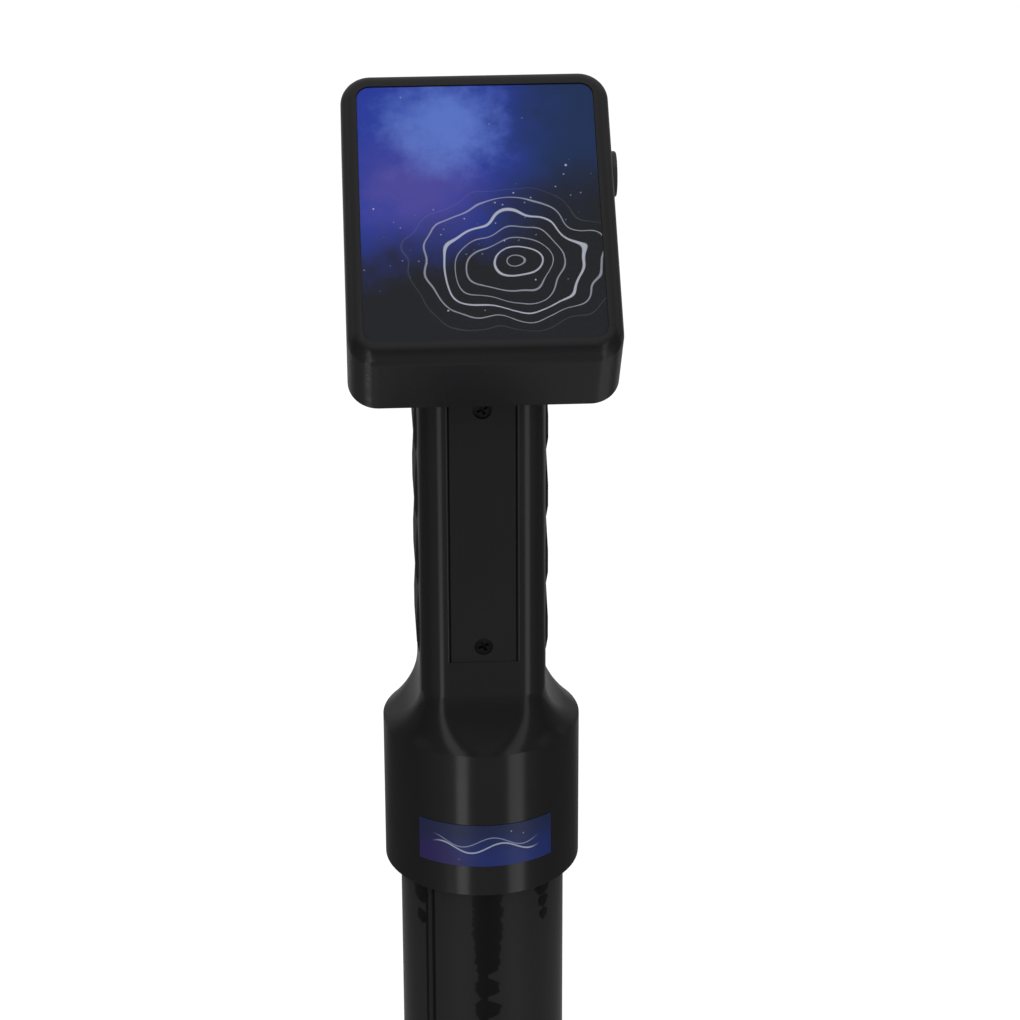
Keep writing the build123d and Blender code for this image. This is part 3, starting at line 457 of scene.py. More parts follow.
def lamp(name, place, target, width, height, power, in_gloss=False):
    """Hang a soft rectangular lamp that faces a target."""
    light = bpy.data.lights.new(name, "AREA")
    light.shape = "RECTANGLE"
    light.size = width
    light.size_y = height
    light.energy = power
    holder = bpy.data.objects.new(name, light)
    back = (Vector(place) - Vector(target)).normalized()
    side = Vector((0, 0, 1)).cross(back).normalized()
    turn = Matrix((side, back.cross(side), back)).transposed().to_4x4()
    holder.matrix_world = Matrix.Translation(place) @ turn
    holder.visible_camera = False
    holder.visible_glossy = in_gloss
    bpy.context.scene.collection.objects.link(holder)


def bright_card(name, distance, degrees, width, low, high, level):
    """Stand a lit card upright in front of the scanner, which the satin shells mirror as a narrow line."""
    turn = math.radians(degrees)
    centre = Vector((distance * math.sin(turn), -distance * math.cos(turn), (low + high) / 2))
    power = level * math.pi * width * (high - low)
    lamp(name, centre, (0, 0, centre.z), width, high - low, power, in_gloss=True)


class SCANNER_OT_stage(bpy.types.Operator):
    """Lay the pale floor and light the studio"""

    bl_idname = "scanner.stage"
    bl_label = "Floor and lamps"

    def execute(self, context):
        studio = context.scene.scanner_studio
        context.scene.view_settings.view_transform = "Standard"
        bpy.ops.mesh.primitive_circle_add(vertices=96, radius=6.0, fill_type="NGON")
        floor = context.object
        floor.name = "floor"
        floor.data.materials.append(self.floor_finish(studio).block)
        context.scene.world = self.room(studio).block
        handle = (0.0, 0.0, 0.62)
        lamp("key_lamp", (-1.0, -1.6, 2.2), handle, width=1.4, height=1.4, power=studio.key_power)
        lamp("fill_lamp", (1.3, -1.3, 1.7), handle, width=1.2, height=1.2, power=studio.fill_power)
        lamp("rear_lamp", (0.3, 1.7, 2.0), handle, width=1.4, height=1.0, power=studio.rear_power)
        lamp("top_lamp", (0.0, -0.35, 1.95), handle, width=0.6, height=0.6, power=studio.top_power)
        away = studio.card_distance
        bright_card("left_low_card", away, degrees=-25.0, width=0.17, low=0.00, high=0.21, level=1.15)
        bright_card("left_high_card", away, degrees=-26.0, width=0.20, low=0.21, high=1.10, level=0.65)
        bright_card("right_low_card", away, degrees=38.0, width=0.25, low=0.00, high=0.42, level=0.68)
        bright_card("right_high_card", away, degrees=30.0, width=0.22, low=0.42, high=1.25, level=0.48)
        return {"FINISHED"}

    def floor_finish(self, studio):
        """White to the camera with the scanner's shadow, pale to matt colour and dim in the gloss."""
        finish = Finish("floor_paper")
        camera_ray = finish.add("ShaderNodeLightPath", output="Is Camera Ray")
        glossy_ray = camera_ray.other("Is Glossy Ray")
        mirrored = self.floor_in_gloss(finish, studio)
        level = studio.floor_bounce + glossy_ray * (mirrored - studio.floor_bounce)
        own_light = 0.90
        shadow_share = 0.25
        white = opaque(studio.floor_colour)
        matt = opaque(tint(studio.floor_colour, shadow_share))
        seen = finish.add("ShaderNodeEmission", None, {"Color": white, "Strength": own_light})
        shaded = finish.add("ShaderNodeBsdfDiffuse", None, {"Color": matt})
        paper = finish.add("ShaderNodeAddShader", None, {0: seen, 1: shaded})
        unseen = finish.add("ShaderNodeEmission", None, {"Color": white, "Strength": level})
        both = finish.add("ShaderNodeMixShader", None, {0: camera_ray, 1: unseen, 2: paper})
        finish.add("ShaderNodeOutputMaterial", None, {"Surface": both})
        return finish

    def floor_in_gloss(self, finish, studio):
        """How bright the floor is where it is mirrored: pools near the foot and a streak on each side."""
        x, y = finish.split(finish.place())[:2]
        near = 0.035 * self.pool(x, y, reach=1.1) + 0.05 * self.pool(x, y, reach=0.5)
        mirrored = studio.floor_gloss + near + 0.09 * (0 - y).ramp(0.1, 0.8) + 0.16 * y.ramp(0.7, 1.2)
        ahead = (0 - y).ramp(-0.1, 0.3)
        left = self.streak(x + 0.30 - 0.32 * y, y, reach=0.15)
        right = self.streak(x - 0.34 + 0.32 * y, y, reach=0.16)
        mirrored = mirrored + (0.20 + 0.30 * ahead) * left + (0.12 + 0.30 * ahead) * right
        return mirrored + 0.12 * self.pool(x - 0.40, y - 0.28, reach=0.32)

    def pool(self, x, y, reach):
        """A soft round pool of light on the floor."""
        return 1 - (x * x + y * y).root().ramp(0.3 * reach, reach)

    def streak(self, across, y, reach):
        """A soft band of light that runs along the floor beside the scanner."""
        return (1 - abs(across).ramp(0.3 * reach, reach)) * (1 - y.ramp(0.12, 0.28)) * y.ramp(-0.75, -0.60)

    def room(self, studio):
        """White to the camera, soft to matt colour, and in the gloss a dim room with a bright ceiling."""
        finish = Finish("studio_room", world=True)
        camera_ray = finish.add("ShaderNodeLightPath", output="Is Camera Ray")
        glossy_ray = camera_ray.other("Is Glossy Ray")
        x, y, z = finish.split(finish.add("ShaderNodeTexCoord", output="Generated"))
        rear = y.ramp(-0.05, 0.30)
        ceiling = rear * z.ramp(-0.25, 0.80) + (1 - rear) * z.ramp(0.50, 1.05)
        front_wall = (0 - y).ramp(0.3, 0.8) * (1 - z.ramp(0.15, 0.50))
        back_wall = y.ramp(0.4, 0.8) * (0.136 - 0.04 * x.ramp(0.1, 0.5))
        walls = studio.room_gloss + 0.056 * front_wall + back_wall
        mirrored = walls + ceiling * (studio.top_gloss - walls)
        level = studio.ambient + glossy_ray * (mirrored - studio.ambient) + camera_ray * (1 - studio.ambient)
        white = opaque(studio.floor_colour)
        light = finish.add("ShaderNodeBackground", None, {"Color": white, "Strength": level})
        finish.add("ShaderNodeOutputWorld", None, {"Surface": light})
        return finish


class SCANNER_OT_shells(bpy.types.Operator):
    """Finish the head, the handle, the battery cover and the foot cap"""

    bl_idname = "scanner.shells"
    bl_label = "Printed shells"

    def execute(self, context):
        shell = context.scene.scanner_shell
        rough = shell.plastic_roughness
        head = printed_plastic("head_plastic", shell, rough, shell.head_tilt, head=True)
        dress(head, "head_case", "head_back_cover")
        handle = printed_plastic("handle_plastic", shell, rough)
        dress(handle, "handle_body", "tube_end_cap")
        cover = printed_plastic("cover_plastic", shell, rough + 0.03, math.radians(90))
        dress(cover, "battery_cover")
        return {"FINISHED"}


class SCANNER_OT_pad(bpy.types.Operator):
    """Finish the finger pad behind the grip"""

    bl_idname = "scanner.pad"
    bl_label = "Finger pad"

    def execute(self, context):
        shell = context.scene.scanner_shell
        finish = Finish("pad_rubber")
        place = finish.place()
        stipple = finish.cells(place, scale=900.0)
        cloud = finish.noise(place, scale=55.0, detail=3.0)
        shade = finish.mix(cloud, tint(shell.pad_colour, 0.90), tint(shell.pad_colour, 1.12))
        relief = finish.bump(stipple, distance=0.00004, strength=0.5)
        finish.surface(base_color=shade, roughness=0.48 + 0.10 * cloud, normal=relief)
        dress(finish, "rear_finger_grip")
        return {"FINISHED"}


class SCANNER_OT_button(bpy.types.Operator):
    """Finish the push button"""

    bl_idname = "scanner.button"
    bl_label = "Push button"

    def execute(self, context):
        colour = context.scene.scanner_shell.button_colour
        finish = Finish("button_plastic")
        place = finish.place()
        turning = finish.noise(finish.mapped(place, scale=(1500, 60, 60)), scale=1.0, detail=2.0)
        cloud = finish.noise(place, scale=120.0, detail=2.0)
        shade = finish.mix(cloud, tint(colour, 0.88), tint(colour, 1.12))
        relief = finish.bump(turning, distance=0.000008, strength=0.5)
        finish.surface(base_color=shade, roughness=0.32 + 0.10 * cloud, normal=relief)
        dress(finish, "power_button_body", "power_button_cap", "power_button_base")
        return {"FINISHED"}


class SCANNER_OT_face_film(bpy.types.Operator):
    """Print the face film: a night sky over pale contour lines"""

    bl_idname = "scanner.face_film"
    bl_label = "Face film"

    def execute(self, context):
        film = context.scene.scanner_film
        tilt = context.scene.scanner_shell.head_tilt
        finish = Finish("face_film_print")
        across, up = finish.split(head_frame(finish, tilt, middle("face_film"), MILLIMETRES))[:2]
        flat = finish.joined(across, up, 0.0)
        drift = finish.noise(flat, scale=0.030, detail=3.0)
        wisps = finish.noise(flat, scale=0.095, detail=5.0, roughness=0.62)
        rise = up * 0.92 - across * 0.36 + (drift - 0.5) * 34 + (wisps - 0.5) * 16
        sky = rise.ramp(-15.0, 11.0)
        to_right = (across + (wisps - 0.5) * 24).ramp(-4.0, 26.0)
        colour = finish.mix(sky, film.charcoal, finish.mix(to_right, film.blue, film.teal))
        haze = self.cloud(across, up, wisps, x=-17.0, y=8.0, reach=27.0) * sky
        colour = finish.mix(haze * 0.75, colour, film.violet)
        lit = self.cloud(across, up, wisps, x=-10.0, y=29.0, reach=23.0) * sky
        colour = finish.mix(lit * 0.90, colour, film.glow)
        colour = finish.mix(self.contours(finish, flat, across, up) * 0.62, colour, film.line)
        small = specks(finish, flat, cell=5.0, radius=0.34, share=0.5)
        large = specks(finish, flat, cell=13.0, radius=0.55, share=0.6)
        dust = specks(finish, flat, cell=2.2, radius=0.30, share=0.6) * sky * (1 - sky) * 4
        colour = finish.mix(small.most(large).most(dust) * 0.8, colour, film.line)
        relief = finish.bump(finish.noise(flat, scale=0.5, detail=2.0), distance=0.000004, strength=0.3)
        finish.surface(base_color=colour, roughness=0.20 + 0.06 * drift, normal=relief)
        dress(finish, "face_film")
        return {"FINISHED"}

    def cloud(self, across, up, wisps, x, y, reach):
        """A soft round cloud with torn edges."""
        dx = across - x
        dy = up - y
        away = (dx * dx + dy * dy).root() + (wisps - 0.5) * 26
        return 1 - away.ramp(0.15 * reach, reach)

    def contours(self, finish, flat, across, up):
        """Rings round an off-centre hill, like the lines of a ground survey, with every third one heavier."""
        spacing = 4.6
        dx = across - 9.0
        dy = (up + 17.0) * 1.3
        bent = finish.noise(flat, scale=0.055, detail=1.0) - 0.5
        away = (dx * dx + dy * dy).root() + bent * 17
        thin = (1 - self.off_ring(away, spacing).ramp(0.14, 0.30)) * 0.6
        heavy = 1 - self.off_ring(away, 3 * spacing).ramp(0.24, 0.44)
        return thin.most(heavy) * (1 - away.ramp(25.0, 31.0))

    def off_ring(self, away, spacing):
        """How far a point lies from the nearest of evenly spaced rings."""
        return abs((away / spacing).part() - 0.5) * spacing


class SCANNER_OT_label(bpy.types.Operator):
    """Print the plain label on the collar"""

    bl_idname = "scanner.label"
    bl_label = "Collar label"

    # Radius of the label round the collar's axis, in millimetres
    RADIUS = 30.18

    def execute(self, context):
        film = context.scene.scanner_film
        finish = Finish("collar_label_print")
        x, y, z = finish.split(finish.place())
        along = finish.around(x, y) * (self.RADIUS * math.pi / 180)
        up = (z - middle("collar_label").z) * MILLIMETRES
        flat = finish.joined(along, up, 0.0)
        wisps = finish.noise(flat, scale=0.12, detail=4.0, roughness=0.6)
        to_right = (along + up * 0.6 + (wisps - 0.5) * 14).ramp(-19.0, -3.0)
        colour = finish.mix(to_right, film.label_violet, film.label_blue)
        colour = finish.mix((up + (wisps - 0.5) * 8).ramp(-4.0, 6.0) * 0.8, colour, film.label_slate)
        wave_pace = 0.33
        wave_height = 1.6
        first = abs(up + 0.8 - finish.math("SINE", along * wave_pace) * wave_height)
        second = abs(up - 1.2 - finish.math("SINE", along * wave_pace + 0.9) * wave_height)
        waves = (1 - first.ramp(0.16, 0.34)).most((1 - second.ramp(0.10, 0.24)) * 0.6)
        fade = 1 - abs(along).ramp(13.0, 17.5)
        colour = finish.mix(waves * fade * 0.6, colour, film.line)
        dots = specks(finish, flat, cell=4.0, radius=0.30, share=0.45)
        colour = finish.mix(dots * 0.7, colour, film.line)
        relief = finish.bump(finish.noise(flat, scale=0.7, detail=2.0), distance=0.000006, strength=0.3)
        finish.surface(base_color=colour, roughness=0.34 + 0.06 * wisps, normal=relief)
        dress(finish, "collar_label")
        return {"FINISHED"}


class SCANNER_OT_wrap(bpy.types.Operator):
    """Finish the tube's clear wrap and lay its lapped seam"""

    bl_idname = "scanner.wrap"
    bl_label = "Tube wrap and seam"

    # Middle of the dark stripe, in degrees to the right of the front
    STRIPE = 0.9
    # Millimetres along the wrap's outside for each degree round it
    ARC = 0.44
    # Degrees to the right of the front, millimetres under the wrap's top, and radius in millimetres
    BLOTS = (
        (-54.0, 3.4, 2.4),
        (-50.5, 6.0, 3.2),
        (-50.0, 13.8, 2.4),
        (45.0, 3.2, 3.3),
        (45.5, 8.4, 2.3),
        (45.5, 13.1, 2.0),
    )

    def execute(self, context):
        wrap = context.scene.scanner_wrap
        finish = self.film(wrap)
        dress(finish, "tube_wrap")
        self.seam(context, wrap, finish)
        return {"FINISHED"}

    def film(self, wrap):
        """Film that is hazy where it stands off the tube and dark where it clings to it, painted paler
        towards the flanks as painted light.
        """
        finish = Finish("wrap_film")
        x, y, z = finish.split(finish.place())
        turn = finish.around(x, y)
        down = (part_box("tube_wrap")[1].z - z) * MILLIMETRES
        stripe = self.stripe(finish, turn, down)
        blots = self.blots(finish, turn, down)
        # Dark where the film clings. Along the seam's edges this is partly painted shade of the lap's step
        cling_and_lap_shade = stripe.most(blots).most(self.lap_cling_and_shade_lines(finish, wrap, turn, down))
        drawn = finish.noise(finish.joined(turn * 0.35, down * 0.006, 0.0), scale=1.0, detail=3.0)
        # Painted light: the film is painted paler towards the flanks, mixed with drawn streaks
        painted_flank_light_and_streaks = abs(turn).ramp(20.0, 60.0) * 0.8 + drawn * 0.2
        haze = finish.mix(painted_flank_light_and_streaks, tint(wrap.haze_colour, 0.90), tint(wrap.haze_colour, 1.20))
        colour = finish.mix(cling_and_lap_shade, haze, wrap.contact_colour)
        pucker = finish.noise(finish.joined(turn * 0.07, down * 0.08, 0.0), scale=1.0, detail=3.0)
        return finish.surface(
            base_color=colour,
            roughness=0.44 - 0.14 * cling_and_lap_shade,
            normal=finish.bump(pucker, distance=0.00005, strength=0.25),
            specular_ior_level=0.27,
            sheen_weight=0.24,
            sheen_roughness=0.28,
        )

    def stripe(self, finish, turn, down):
        """The dark stripe down the front, with scalloped edges, evenly spaced necks and, far down, breaks."""
        half_width = 10.5
        neck_spacing = 8.0
        right = turn > self.STRIPE
        edge = finish.joined(right * 7.0, down * 0.30, 0.0)
        scallop = finish.noise(edge, scale=1.0, detail=3.0, roughness=0.7)
        breaks = finish.noise(finish.joined(3.0, down * 0.03, 0.0), scale=1.0, detail=1.0)
        neck = abs((down / neck_spacing - 0.9).part() - 0.5).ramp(0.16, 0.50) * down.ramp(28.0, 30.0)
        step = 1.8 * down.ramp(18.5, 20.5)
        pinch = (3.0 + 7.0 * right) * neck
        half = half_width - step - pinch + (scallop - 0.5) * 10.0
        half = half - down.ramp(45.0, 70.0) * breaks.ramp(0.45, 0.60) * 16.0
        return 1 - (abs(turn - self.STRIPE) - half).ramp(-0.7, 0.7)

    def blots(self, finish, turn, down):
        """Ragged dark blots just under the collar, left of the seam and opposite it."""
        torn = finish.joined(turn * 0.25, down * 0.55, 4.0)
        ragged = (finish.noise(torn, scale=1.0, detail=3.0, roughness=0.65) - 0.5) * 3.0
        dark = 0.0
        for place, below, reach in self.BLOTS:
            dx = (turn - place) * self.ARC
            dy = down - below
            away = (dx * dx + dy * dy).root() + ragged
            dark = (1 - away.ramp(reach - 0.3, reach + 0.3)).most(dark)
        return dark

    def lap_cling_and_shade_lines(self, finish, wrap, turn, down):
        """Dark lines along both edges of the seam, which waver a little: partly the film clinging there,
        partly painted shade of the lap's step.
        """
        angle = math.degrees(wrap.seam_angle)
        reach = math.degrees(wrap.seam_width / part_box("tube_wrap")[1].x) / 2
        waver = (finish.noise(finish.joined(0.0, down * 0.05, 2.0), scale=1.0, detail=2.0) - 0.5) * 1.2
        edge = abs(abs(turn + angle + waver) - reach)
        return 1 - edge.ramp(0.8, 1.7)

    def seam(self, context, wrap, finish):
        """A strip of film bent round the tube, a little shorter than the wrap, with softened edges."""
        low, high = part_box("tube_wrap")
        outside = high.x
        shorter = 0.001
        bpy.ops.object.select_all(action="DESELECT")
        bpy.ops.mesh.primitive_cylinder_add(
            vertices=360,
            radius=outside,
            depth=high.z - low.z - shorter,
            end_fill_type="NOTHING",
            location=(0, 0, (low.z + high.z) / 2),
        )
        strip = context.object
        strip.name = "wrap_seam"
        bpy.ops.object.transform_apply(location=True, rotation=True, scale=True)
        reach = wrap.seam_width / outside / 2
        context.tool_settings.mesh_select_mode = (False, False, True)
        for polygon in strip.data.polygons:
            turn = math.atan2(polygon.center.x, -polygon.center.y)
            polygon.select = abs(turn + wrap.seam_angle) > reach
        bpy.ops.object.mode_set(mode="EDIT")
        bpy.ops.mesh.delete(type="FACE")
        bpy.ops.mesh.select_all(action="SELECT")
        bpy.ops.mesh.extrude_region_shrink_fatten(TRANSFORM_OT_shrink_fatten={"value": wrap.seam_thickness})
        bpy.ops.mesh.select_all(action="SELECT")
        bpy.ops.mesh.normals_make_consistent(inside=False)
        bpy.ops.object.mode_set(mode="OBJECT")
        soften = strip.modifiers.new("soft_edges", "BEVEL")
        soften.width = 0.4 * wrap.seam_thickness
        soften.segments = 2
        soften.limit_method = "ANGLE"
        bpy.ops.object.modifier_apply(modifier=soften.name)
        bpy.ops.object.shade_smooth_by_angle(angle=math.radians(30))
        strip.data.materials.append(finish.block)
        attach(strip, "scanner")


class SCANNER_OT_fasteners(bpy.types.Operator):
    """Finish the screws, inserts, contacts and pins, and make the button's spring"""

    bl_idname = "scanner.fasteners"
    bl_label = "Metal pieces"

    def execute(self, context):
        inside = context.scene.scanner_inside
        steel = self.metal("screw_steel", inside.steel, 0.34)
        dress(steel, "battery_cover_screws", "back_cover_screws", "head_neck_screws", "board_screws")
        dress(steel, "tube_lock_screws", "power_button_nut", "power_button_spring")
        brass = self.metal("insert_brass", inside.brass, 0.28)
        dress(brass, "battery_cover_inserts", "power_button_terminals")
        contacts = self.metal("contact_nickel", inside.nickel, 0.22)
        dress(contacts, "battery_contact_bottom", "battery_contact_top")
        self.spring(context)
        return {"FINISHED"}

    def spring(self, context):
        """A smooth-shaded copy of the return spring with its loose triangles merged, which takes the place of
        the hidden CAD spring.
        """
        bpy.ops.object.select_all(action="DESELECT")
        spring = bpy.data.objects.new("return_spring", parts["power_button_spring"].data.copy())
        context.scene.collection.objects.link(spring)
        context.view_layer.objects.active = spring
        spring.select_set(True)
        bpy.ops.object.mode_set(mode="EDIT")
        bpy.ops.mesh.select_all(action="SELECT")
        bpy.ops.mesh.remove_doubles(threshold=0.000001)
        bpy.ops.object.mode_set(mode="OBJECT")
        bpy.ops.object.shade_smooth_by_angle(angle=math.radians(40))
        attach(spring, "scanner")
        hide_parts("power_button_spring")
        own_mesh(spring)

    def metal(self, name, colour, roughness):
        """Metal with fine turning marks and a little tarnish."""
        finish = Finish(name)
        place = finish.place()
        marks = finish.noise(finish.mapped(place, scale=(2600, 700, 700)), scale=1.0, detail=2.0)
        tarnish = finish.noise(place, scale=260.0, detail=4.0, roughness=0.6)
        shade = finish.mix(tarnish.ramp(0.35, 0.70), tint(colour, 0.75), tint(colour, 1.15))
        dull = roughness + 0.12 * tarnish
        relief = finish.bump(marks, distance=0.000006, strength=0.4)
        return finish.surface(base_color=shade, metallic=1.0, roughness=dull, normal=relief)


class SCANNER_OT_tube_inside(bpy.types.Operator):
    """Finish the tube and what it holds"""

    bl_idname = "scanner.tube_inside"
    bl_label = "Tube and sensors"

    def execute(self, context):
        inside = context.scene.scanner_inside
        shell = context.scene.scanner_shell
        dress(self.drawn_tube(shell.plastic_colour), "sensor_tube")
        dress(self.moulded(inside.inner_grey), "tube_top_plug", "sensor_carrier", "sensor_clamps")
        dress(self.winding(), "lower_sensor", "upper_sensor")
        dress(self.spacer(inside.foam), "carrier_spacers")
        dress(self.seal(inside.rubber), "end_cap_seal", "cable_grommet")
        return {"FINISHED"}

    def drawn_tube(self, colour):
        """Plastic tube with fine lines along its length."""
        finish = Finish("tube_plastic")
        drawn = finish.noise(finish.mapped(finish.place(), scale=(900, 900, 12)), scale=1.0, detail=3.0)
        shade = finish.mix(drawn, tint(colour, 0.85), tint(colour, 1.15))
        relief = finish.bump(drawn, distance=0.00001, strength=0.4)
        return finish.surface(base_color=shade, roughness=0.36 + 0.08 * drawn, normal=relief)

    def moulded(self, colour):
        """Moulded plastic with a fine grain."""
        finish = Finish("inner_plastic")
        place = finish.place()
        cloud = finish.noise(place, scale=70.0, detail=3.0)
        grain = finish.noise(place, scale=2200.0, detail=2.0)
        shade = finish.mix(cloud, tint(colour, 0.92), tint(colour, 1.08))
        relief = finish.bump(grain, distance=0.00002, strength=0.4)
        return finish.surface(base_color=shade, roughness=0.50 + 0.08 * cloud, normal=relief)

    def winding(self):
        """Lacquered copper wire in close turns."""
        dark_copper = (0.10, 0.028, 0.008)
        bright_copper = (0.36, 0.13, 0.045)
        wire = 0.0004
        finish = Finish("sensor_winding")
        place = finish.place()
        turns = abs((finish.split(place)[2] / wire).part() - 0.5)
        lacquer = finish.noise(place, scale=300.0, detail=2.0)
        shade = finish.mix(turns * 1.6 * lacquer, dark_copper, bright_copper)
        dull = 0.30 + 0.15 * lacquer
        relief = finish.bump(turns, distance=0.0001, strength=0.5)
        return finish.surface(base_color=shade, metallic=0.35, roughness=dull, normal=relief)

    def spacer(self, colour):
        """Foam with open pores."""
        finish = Finish("spacer_foam")
        pores = finish.cells(finish.place(), scale=1100.0)
        shade = finish.mix(pores.ramp(0.15, 0.60), tint(colour, 0.5), tint(colour, 1.2))
        relief = finish.bump(pores, distance=0.0003, strength=0.7)
        return finish.surface(base_color=shade, roughness=0.92, normal=relief)

    def seal(self, colour):
        """Rubber with a little dust."""
        finish = Finish("seal_rubber")
        dust = finish.noise(finish.place(), scale=900.0, detail=4.0, roughness=0.65)
        shade = finish.mix(dust.ramp(0.45, 0.75), colour, tint(colour, 1.9))
        relief = finish.bump(dust, distance=0.00002, strength=0.4)
        return finish.surface(base_color=shade, roughness=0.60 + 0.15 * dust, normal=relief)


class SCANNER_OT_electronics(bpy.types.Operator):
    """Finish the board, its parts and the battery cell"""

    bl_idname = "scanner.electronics"
    bl_label = "Board and battery"

    def execute(self, context):
        inside = context.scene.scanner_inside
        tilt = context.scene.scanner_shell.head_tilt
        dress(self.board(inside, tilt), "main_board")
        dress(self.chip(), "board_chips")
        dress(self.shield(inside.nickel), "radio_module")
        dress(self.connector(), "board_connectors")
        dress(self.cell(inside), "battery_cell")
        return {"FINISHED"}

    def board(self, inside, tilt):
        """Lacquered laminate with tracks and plated holes, in millimetres along the board."""
        pitch = 1.3
        holes_per_mm = 0.33
        finish = Finish("board_laminate")
        across, up = finish.split(head_frame(finish, tilt, middle("main_board"), MILLIMETRES))[:2]
        flat = finish.joined(across, up, 0.0)
        jog = finish.split(finish.cells(flat, scale=0.16).other("Color"))[0] > 0.5
        lanes = abs(((across + jog * up) / pitch).part() - 0.5)
        tracks = (1 - lanes.ramp(0.14, 0.20)) * (finish.noise(flat, scale=0.09, detail=1.0) > 0.47)
        holes = 1 - (finish.cells(flat, scale=holes_per_mm) / holes_per_mm).ramp(0.30, 0.40)
        shade = finish.mix(tracks, inside.laminate, tint(inside.laminate, 1.8))
        shade = finish.mix(holes * 0.8, shade, inside.nickel)
        relief = finish.bump(tracks, distance=0.00003, strength=0.5)
        return finish.surface(base_color=shade, roughness=0.32 + 0.10 * tracks, normal=relief)

    def chip(self):
        """Matt black plastic of the chips."""
        dark = (0.010, 0.010, 0.011)
        pale = (0.018, 0.018, 0.019)
        finish = Finish("chip_plastic")
        place = finish.place()
        matt = finish.noise(place, scale=1900.0, detail=3.0)
        shade = finish.mix(finish.noise(place, scale=200.0, detail=2.0), dark, pale)
        relief = finish.bump(matt, distance=0.00001, strength=0.4)
        return finish.surface(base_color=shade, roughness=0.55 + 0.12 * matt, normal=relief)

    def shield(self, colour):
        """Brushed metal can of the radio."""
        finish = Finish("radio_shield")
        brushed = finish.noise(finish.mapped(finish.place(), scale=(2400, 80, 80)), scale=1.0, detail=3.0)
        shade = finish.mix(brushed, tint(colour, 0.80), tint(colour, 1.05))
        dull = 0.26 + 0.14 * brushed
        relief = finish.bump(brushed, distance=0.00001, strength=0.3)
        return finish.surface(base_color=shade, metallic=1.0, roughness=dull, normal=relief)

    def connector(self):
        """Ivory plastic of the connectors."""
        dark_ivory = (0.62, 0.59, 0.50)
        pale_ivory = (0.72, 0.69, 0.60)
        finish = Finish("connector_plastic")
        cloud = finish.noise(finish.place(), scale=400.0, detail=3.0)
        shade = finish.mix(cloud, dark_ivory, pale_ivory)
        relief = finish.bump(cloud, distance=0.00002, strength=0.3)
        return finish.surface(base_color=shade, roughness=0.42 + 0.10 * cloud, normal=relief)

    def cell(self, inside):
        """Shrink sleeve with a pale ring near the top, and bare metal at both ends."""
        ring_grey = (0.55, 0.56, 0.56)
        bare_top = 0.0022
        bare_bottom = 0.0010
        ring_below_top = 0.0060
        ring_half = 0.0012
        finish = Finish("cell_sleeve")
        place = finish.place()
        z = finish.split(place)[2]
        low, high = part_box("battery_cell")
        ends = (z > high.z - bare_top).most(z < low.z + bare_bottom)
        ring = abs(z - (high.z - ring_below_top)) < ring_half
        shrink = finish.noise(finish.mapped(place, scale=(500, 500, 60)), scale=1.0, detail=3.0)
        shade = finish.mix(shrink, tint(inside.cell_sleeve, 0.85), tint(inside.cell_sleeve, 1.15))
        shade = finish.mix(ring, shade, ring_grey)
        shade = finish.mix(ends, shade, inside.nickel)
        dull = 0.24 + 0.10 * shrink
        relief = finish.bump(shrink, distance=0.00002, strength=0.4)
        return finish.surface(base_color=shade, metallic=ends, roughness=dull, normal=relief)


class SCANNER_OT_wiring(bpy.types.Operator):
    """Finish the cable and the leads"""

    bl_idname = "scanner.wiring"
    bl_label = "Cable and leads"

    def execute(self, context):
        black = (0.014, 0.014, 0.015)
        red = (0.36, 0.020, 0.016)
        yellow = (0.55, 0.36, 0.020)
        dress(self.sleeve("cable_sleeve", black, black), "sensor_cable")
        dress(self.sleeve("battery_lead_sleeve", black, red), "battery_leads")
        dress(self.sleeve("switch_lead_sleeve", yellow, yellow), "switch_leads")
        return {"FINISHED"}

    def sleeve(self, name, left, right):
        """Wire insulation, with one colour left of the middle and another right of it."""
        dirt = (0.05, 0.05, 0.05)
        finish = Finish(name)
        place = finish.place()
        cloud = finish.noise(place, scale=350.0, detail=3.0)
        colour = finish.mix(finish.split(place)[0] > 0.0, left, right)
        shade = finish.mix(cloud * 0.35, colour, dirt)
        relief = finish.bump(cloud, distance=0.00002, strength=0.4)
        return finish.surface(base_color=shade, roughness=0.38 + 0.14 * cloud, normal=relief)


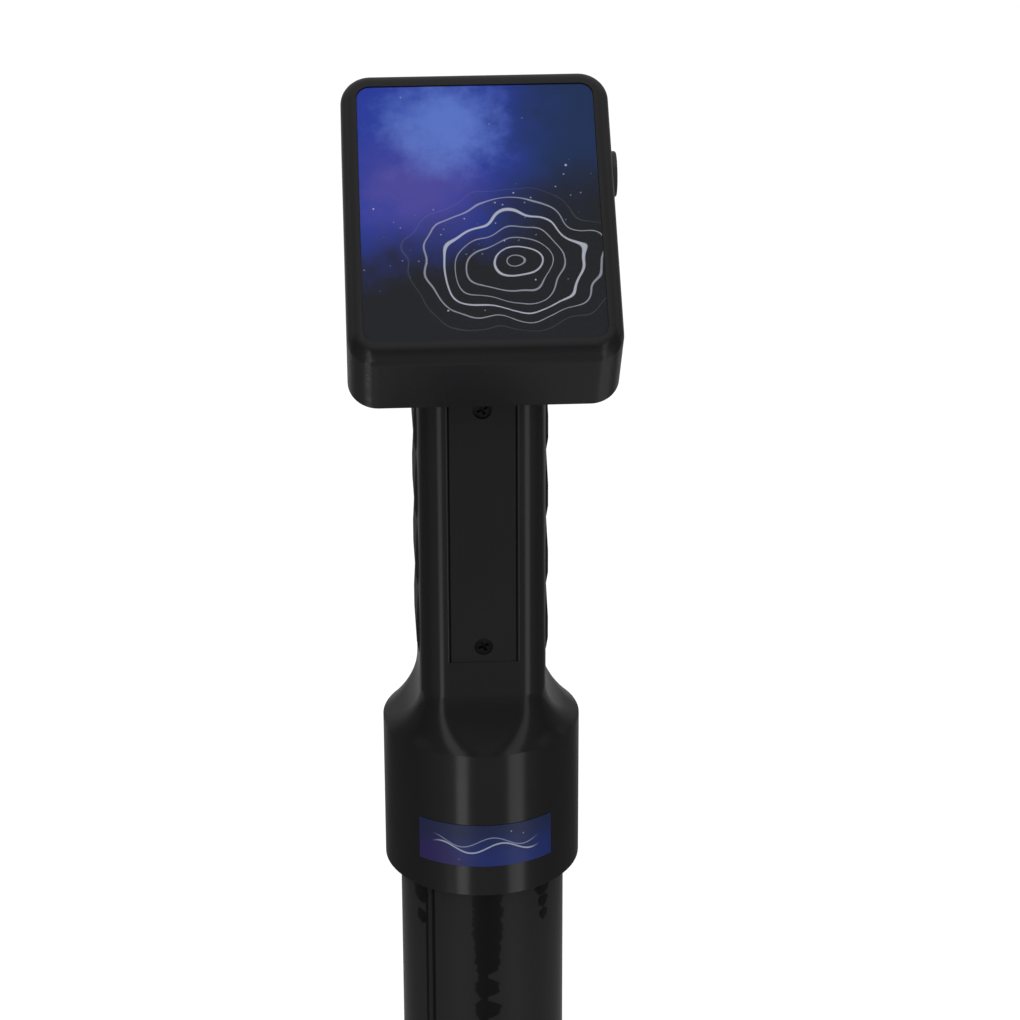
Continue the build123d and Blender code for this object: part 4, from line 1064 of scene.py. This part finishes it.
class SCANNER_PT_panel(bpy.types.Panel):
    """Lists the steps that dress the scanner"""

    bl_label = "Ground scanner"
    bl_idname = "SCANNER_PT_panel"
    bl_space_type = "VIEW_3D"
    bl_region_type = "UI"
    bl_category = "Scanner"

    def draw(self, context):
        for step in STEPS:
            self.layout.operator(step.bl_idname)
        for name in SETTINGS:
            group = getattr(context.scene, name)
            box = self.layout.box()
            for prop in group.bl_rna.properties:
                if prop.identifier not in {"rna_type", "name"}:
                    box.prop(group, prop.identifier)


SETTINGS = {
    "scanner_studio": StudioSettings,
    "scanner_shell": ShellSettings,
    "scanner_film": FilmSettings,
    "scanner_wrap": WrapSettings,
    "scanner_inside": InsideSettings,
}
STEPS = (
    SCANNER_OT_camera,
    SCANNER_OT_stage,
    SCANNER_OT_shells,
    SCANNER_OT_pad,
    SCANNER_OT_button,
    SCANNER_OT_face_film,
    SCANNER_OT_label,
    SCANNER_OT_wrap,
    SCANNER_OT_fasteners,
    SCANNER_OT_tube_inside,
    SCANNER_OT_electronics,
    SCANNER_OT_wiring,
)


def register():
    for name, group in SETTINGS.items():
        bpy.utils.register_class(group)
        setattr(bpy.types.Scene, name, PointerProperty(type=group))
    for step in STEPS:
        bpy.utils.register_class(step)
    bpy.utils.register_class(SCANNER_PT_panel)


def unregister():
    bpy.utils.unregister_class(SCANNER_PT_panel)
    for step in reversed(STEPS):
        bpy.utils.unregister_class(step)
    for name, group in SETTINGS.items():
        delattr(bpy.types.Scene, name)
        bpy.utils.unregister_class(group)


def main():
    register()
    bpy.ops.object.select_all(action="DESELECT")
    bpy.ops.scanner.camera()
    bpy.ops.scanner.stage()
    bpy.ops.scanner.shells()
    bpy.ops.scanner.pad()
    bpy.ops.scanner.button()
    bpy.ops.scanner.face_film()
    bpy.ops.scanner.label()
    bpy.ops.scanner.wrap()
    bpy.ops.scanner.fasteners()
    bpy.ops.scanner.tube_inside()
    bpy.ops.scanner.electronics()
    bpy.ops.scanner.wiring()


if __name__ == "__main__":
    main()
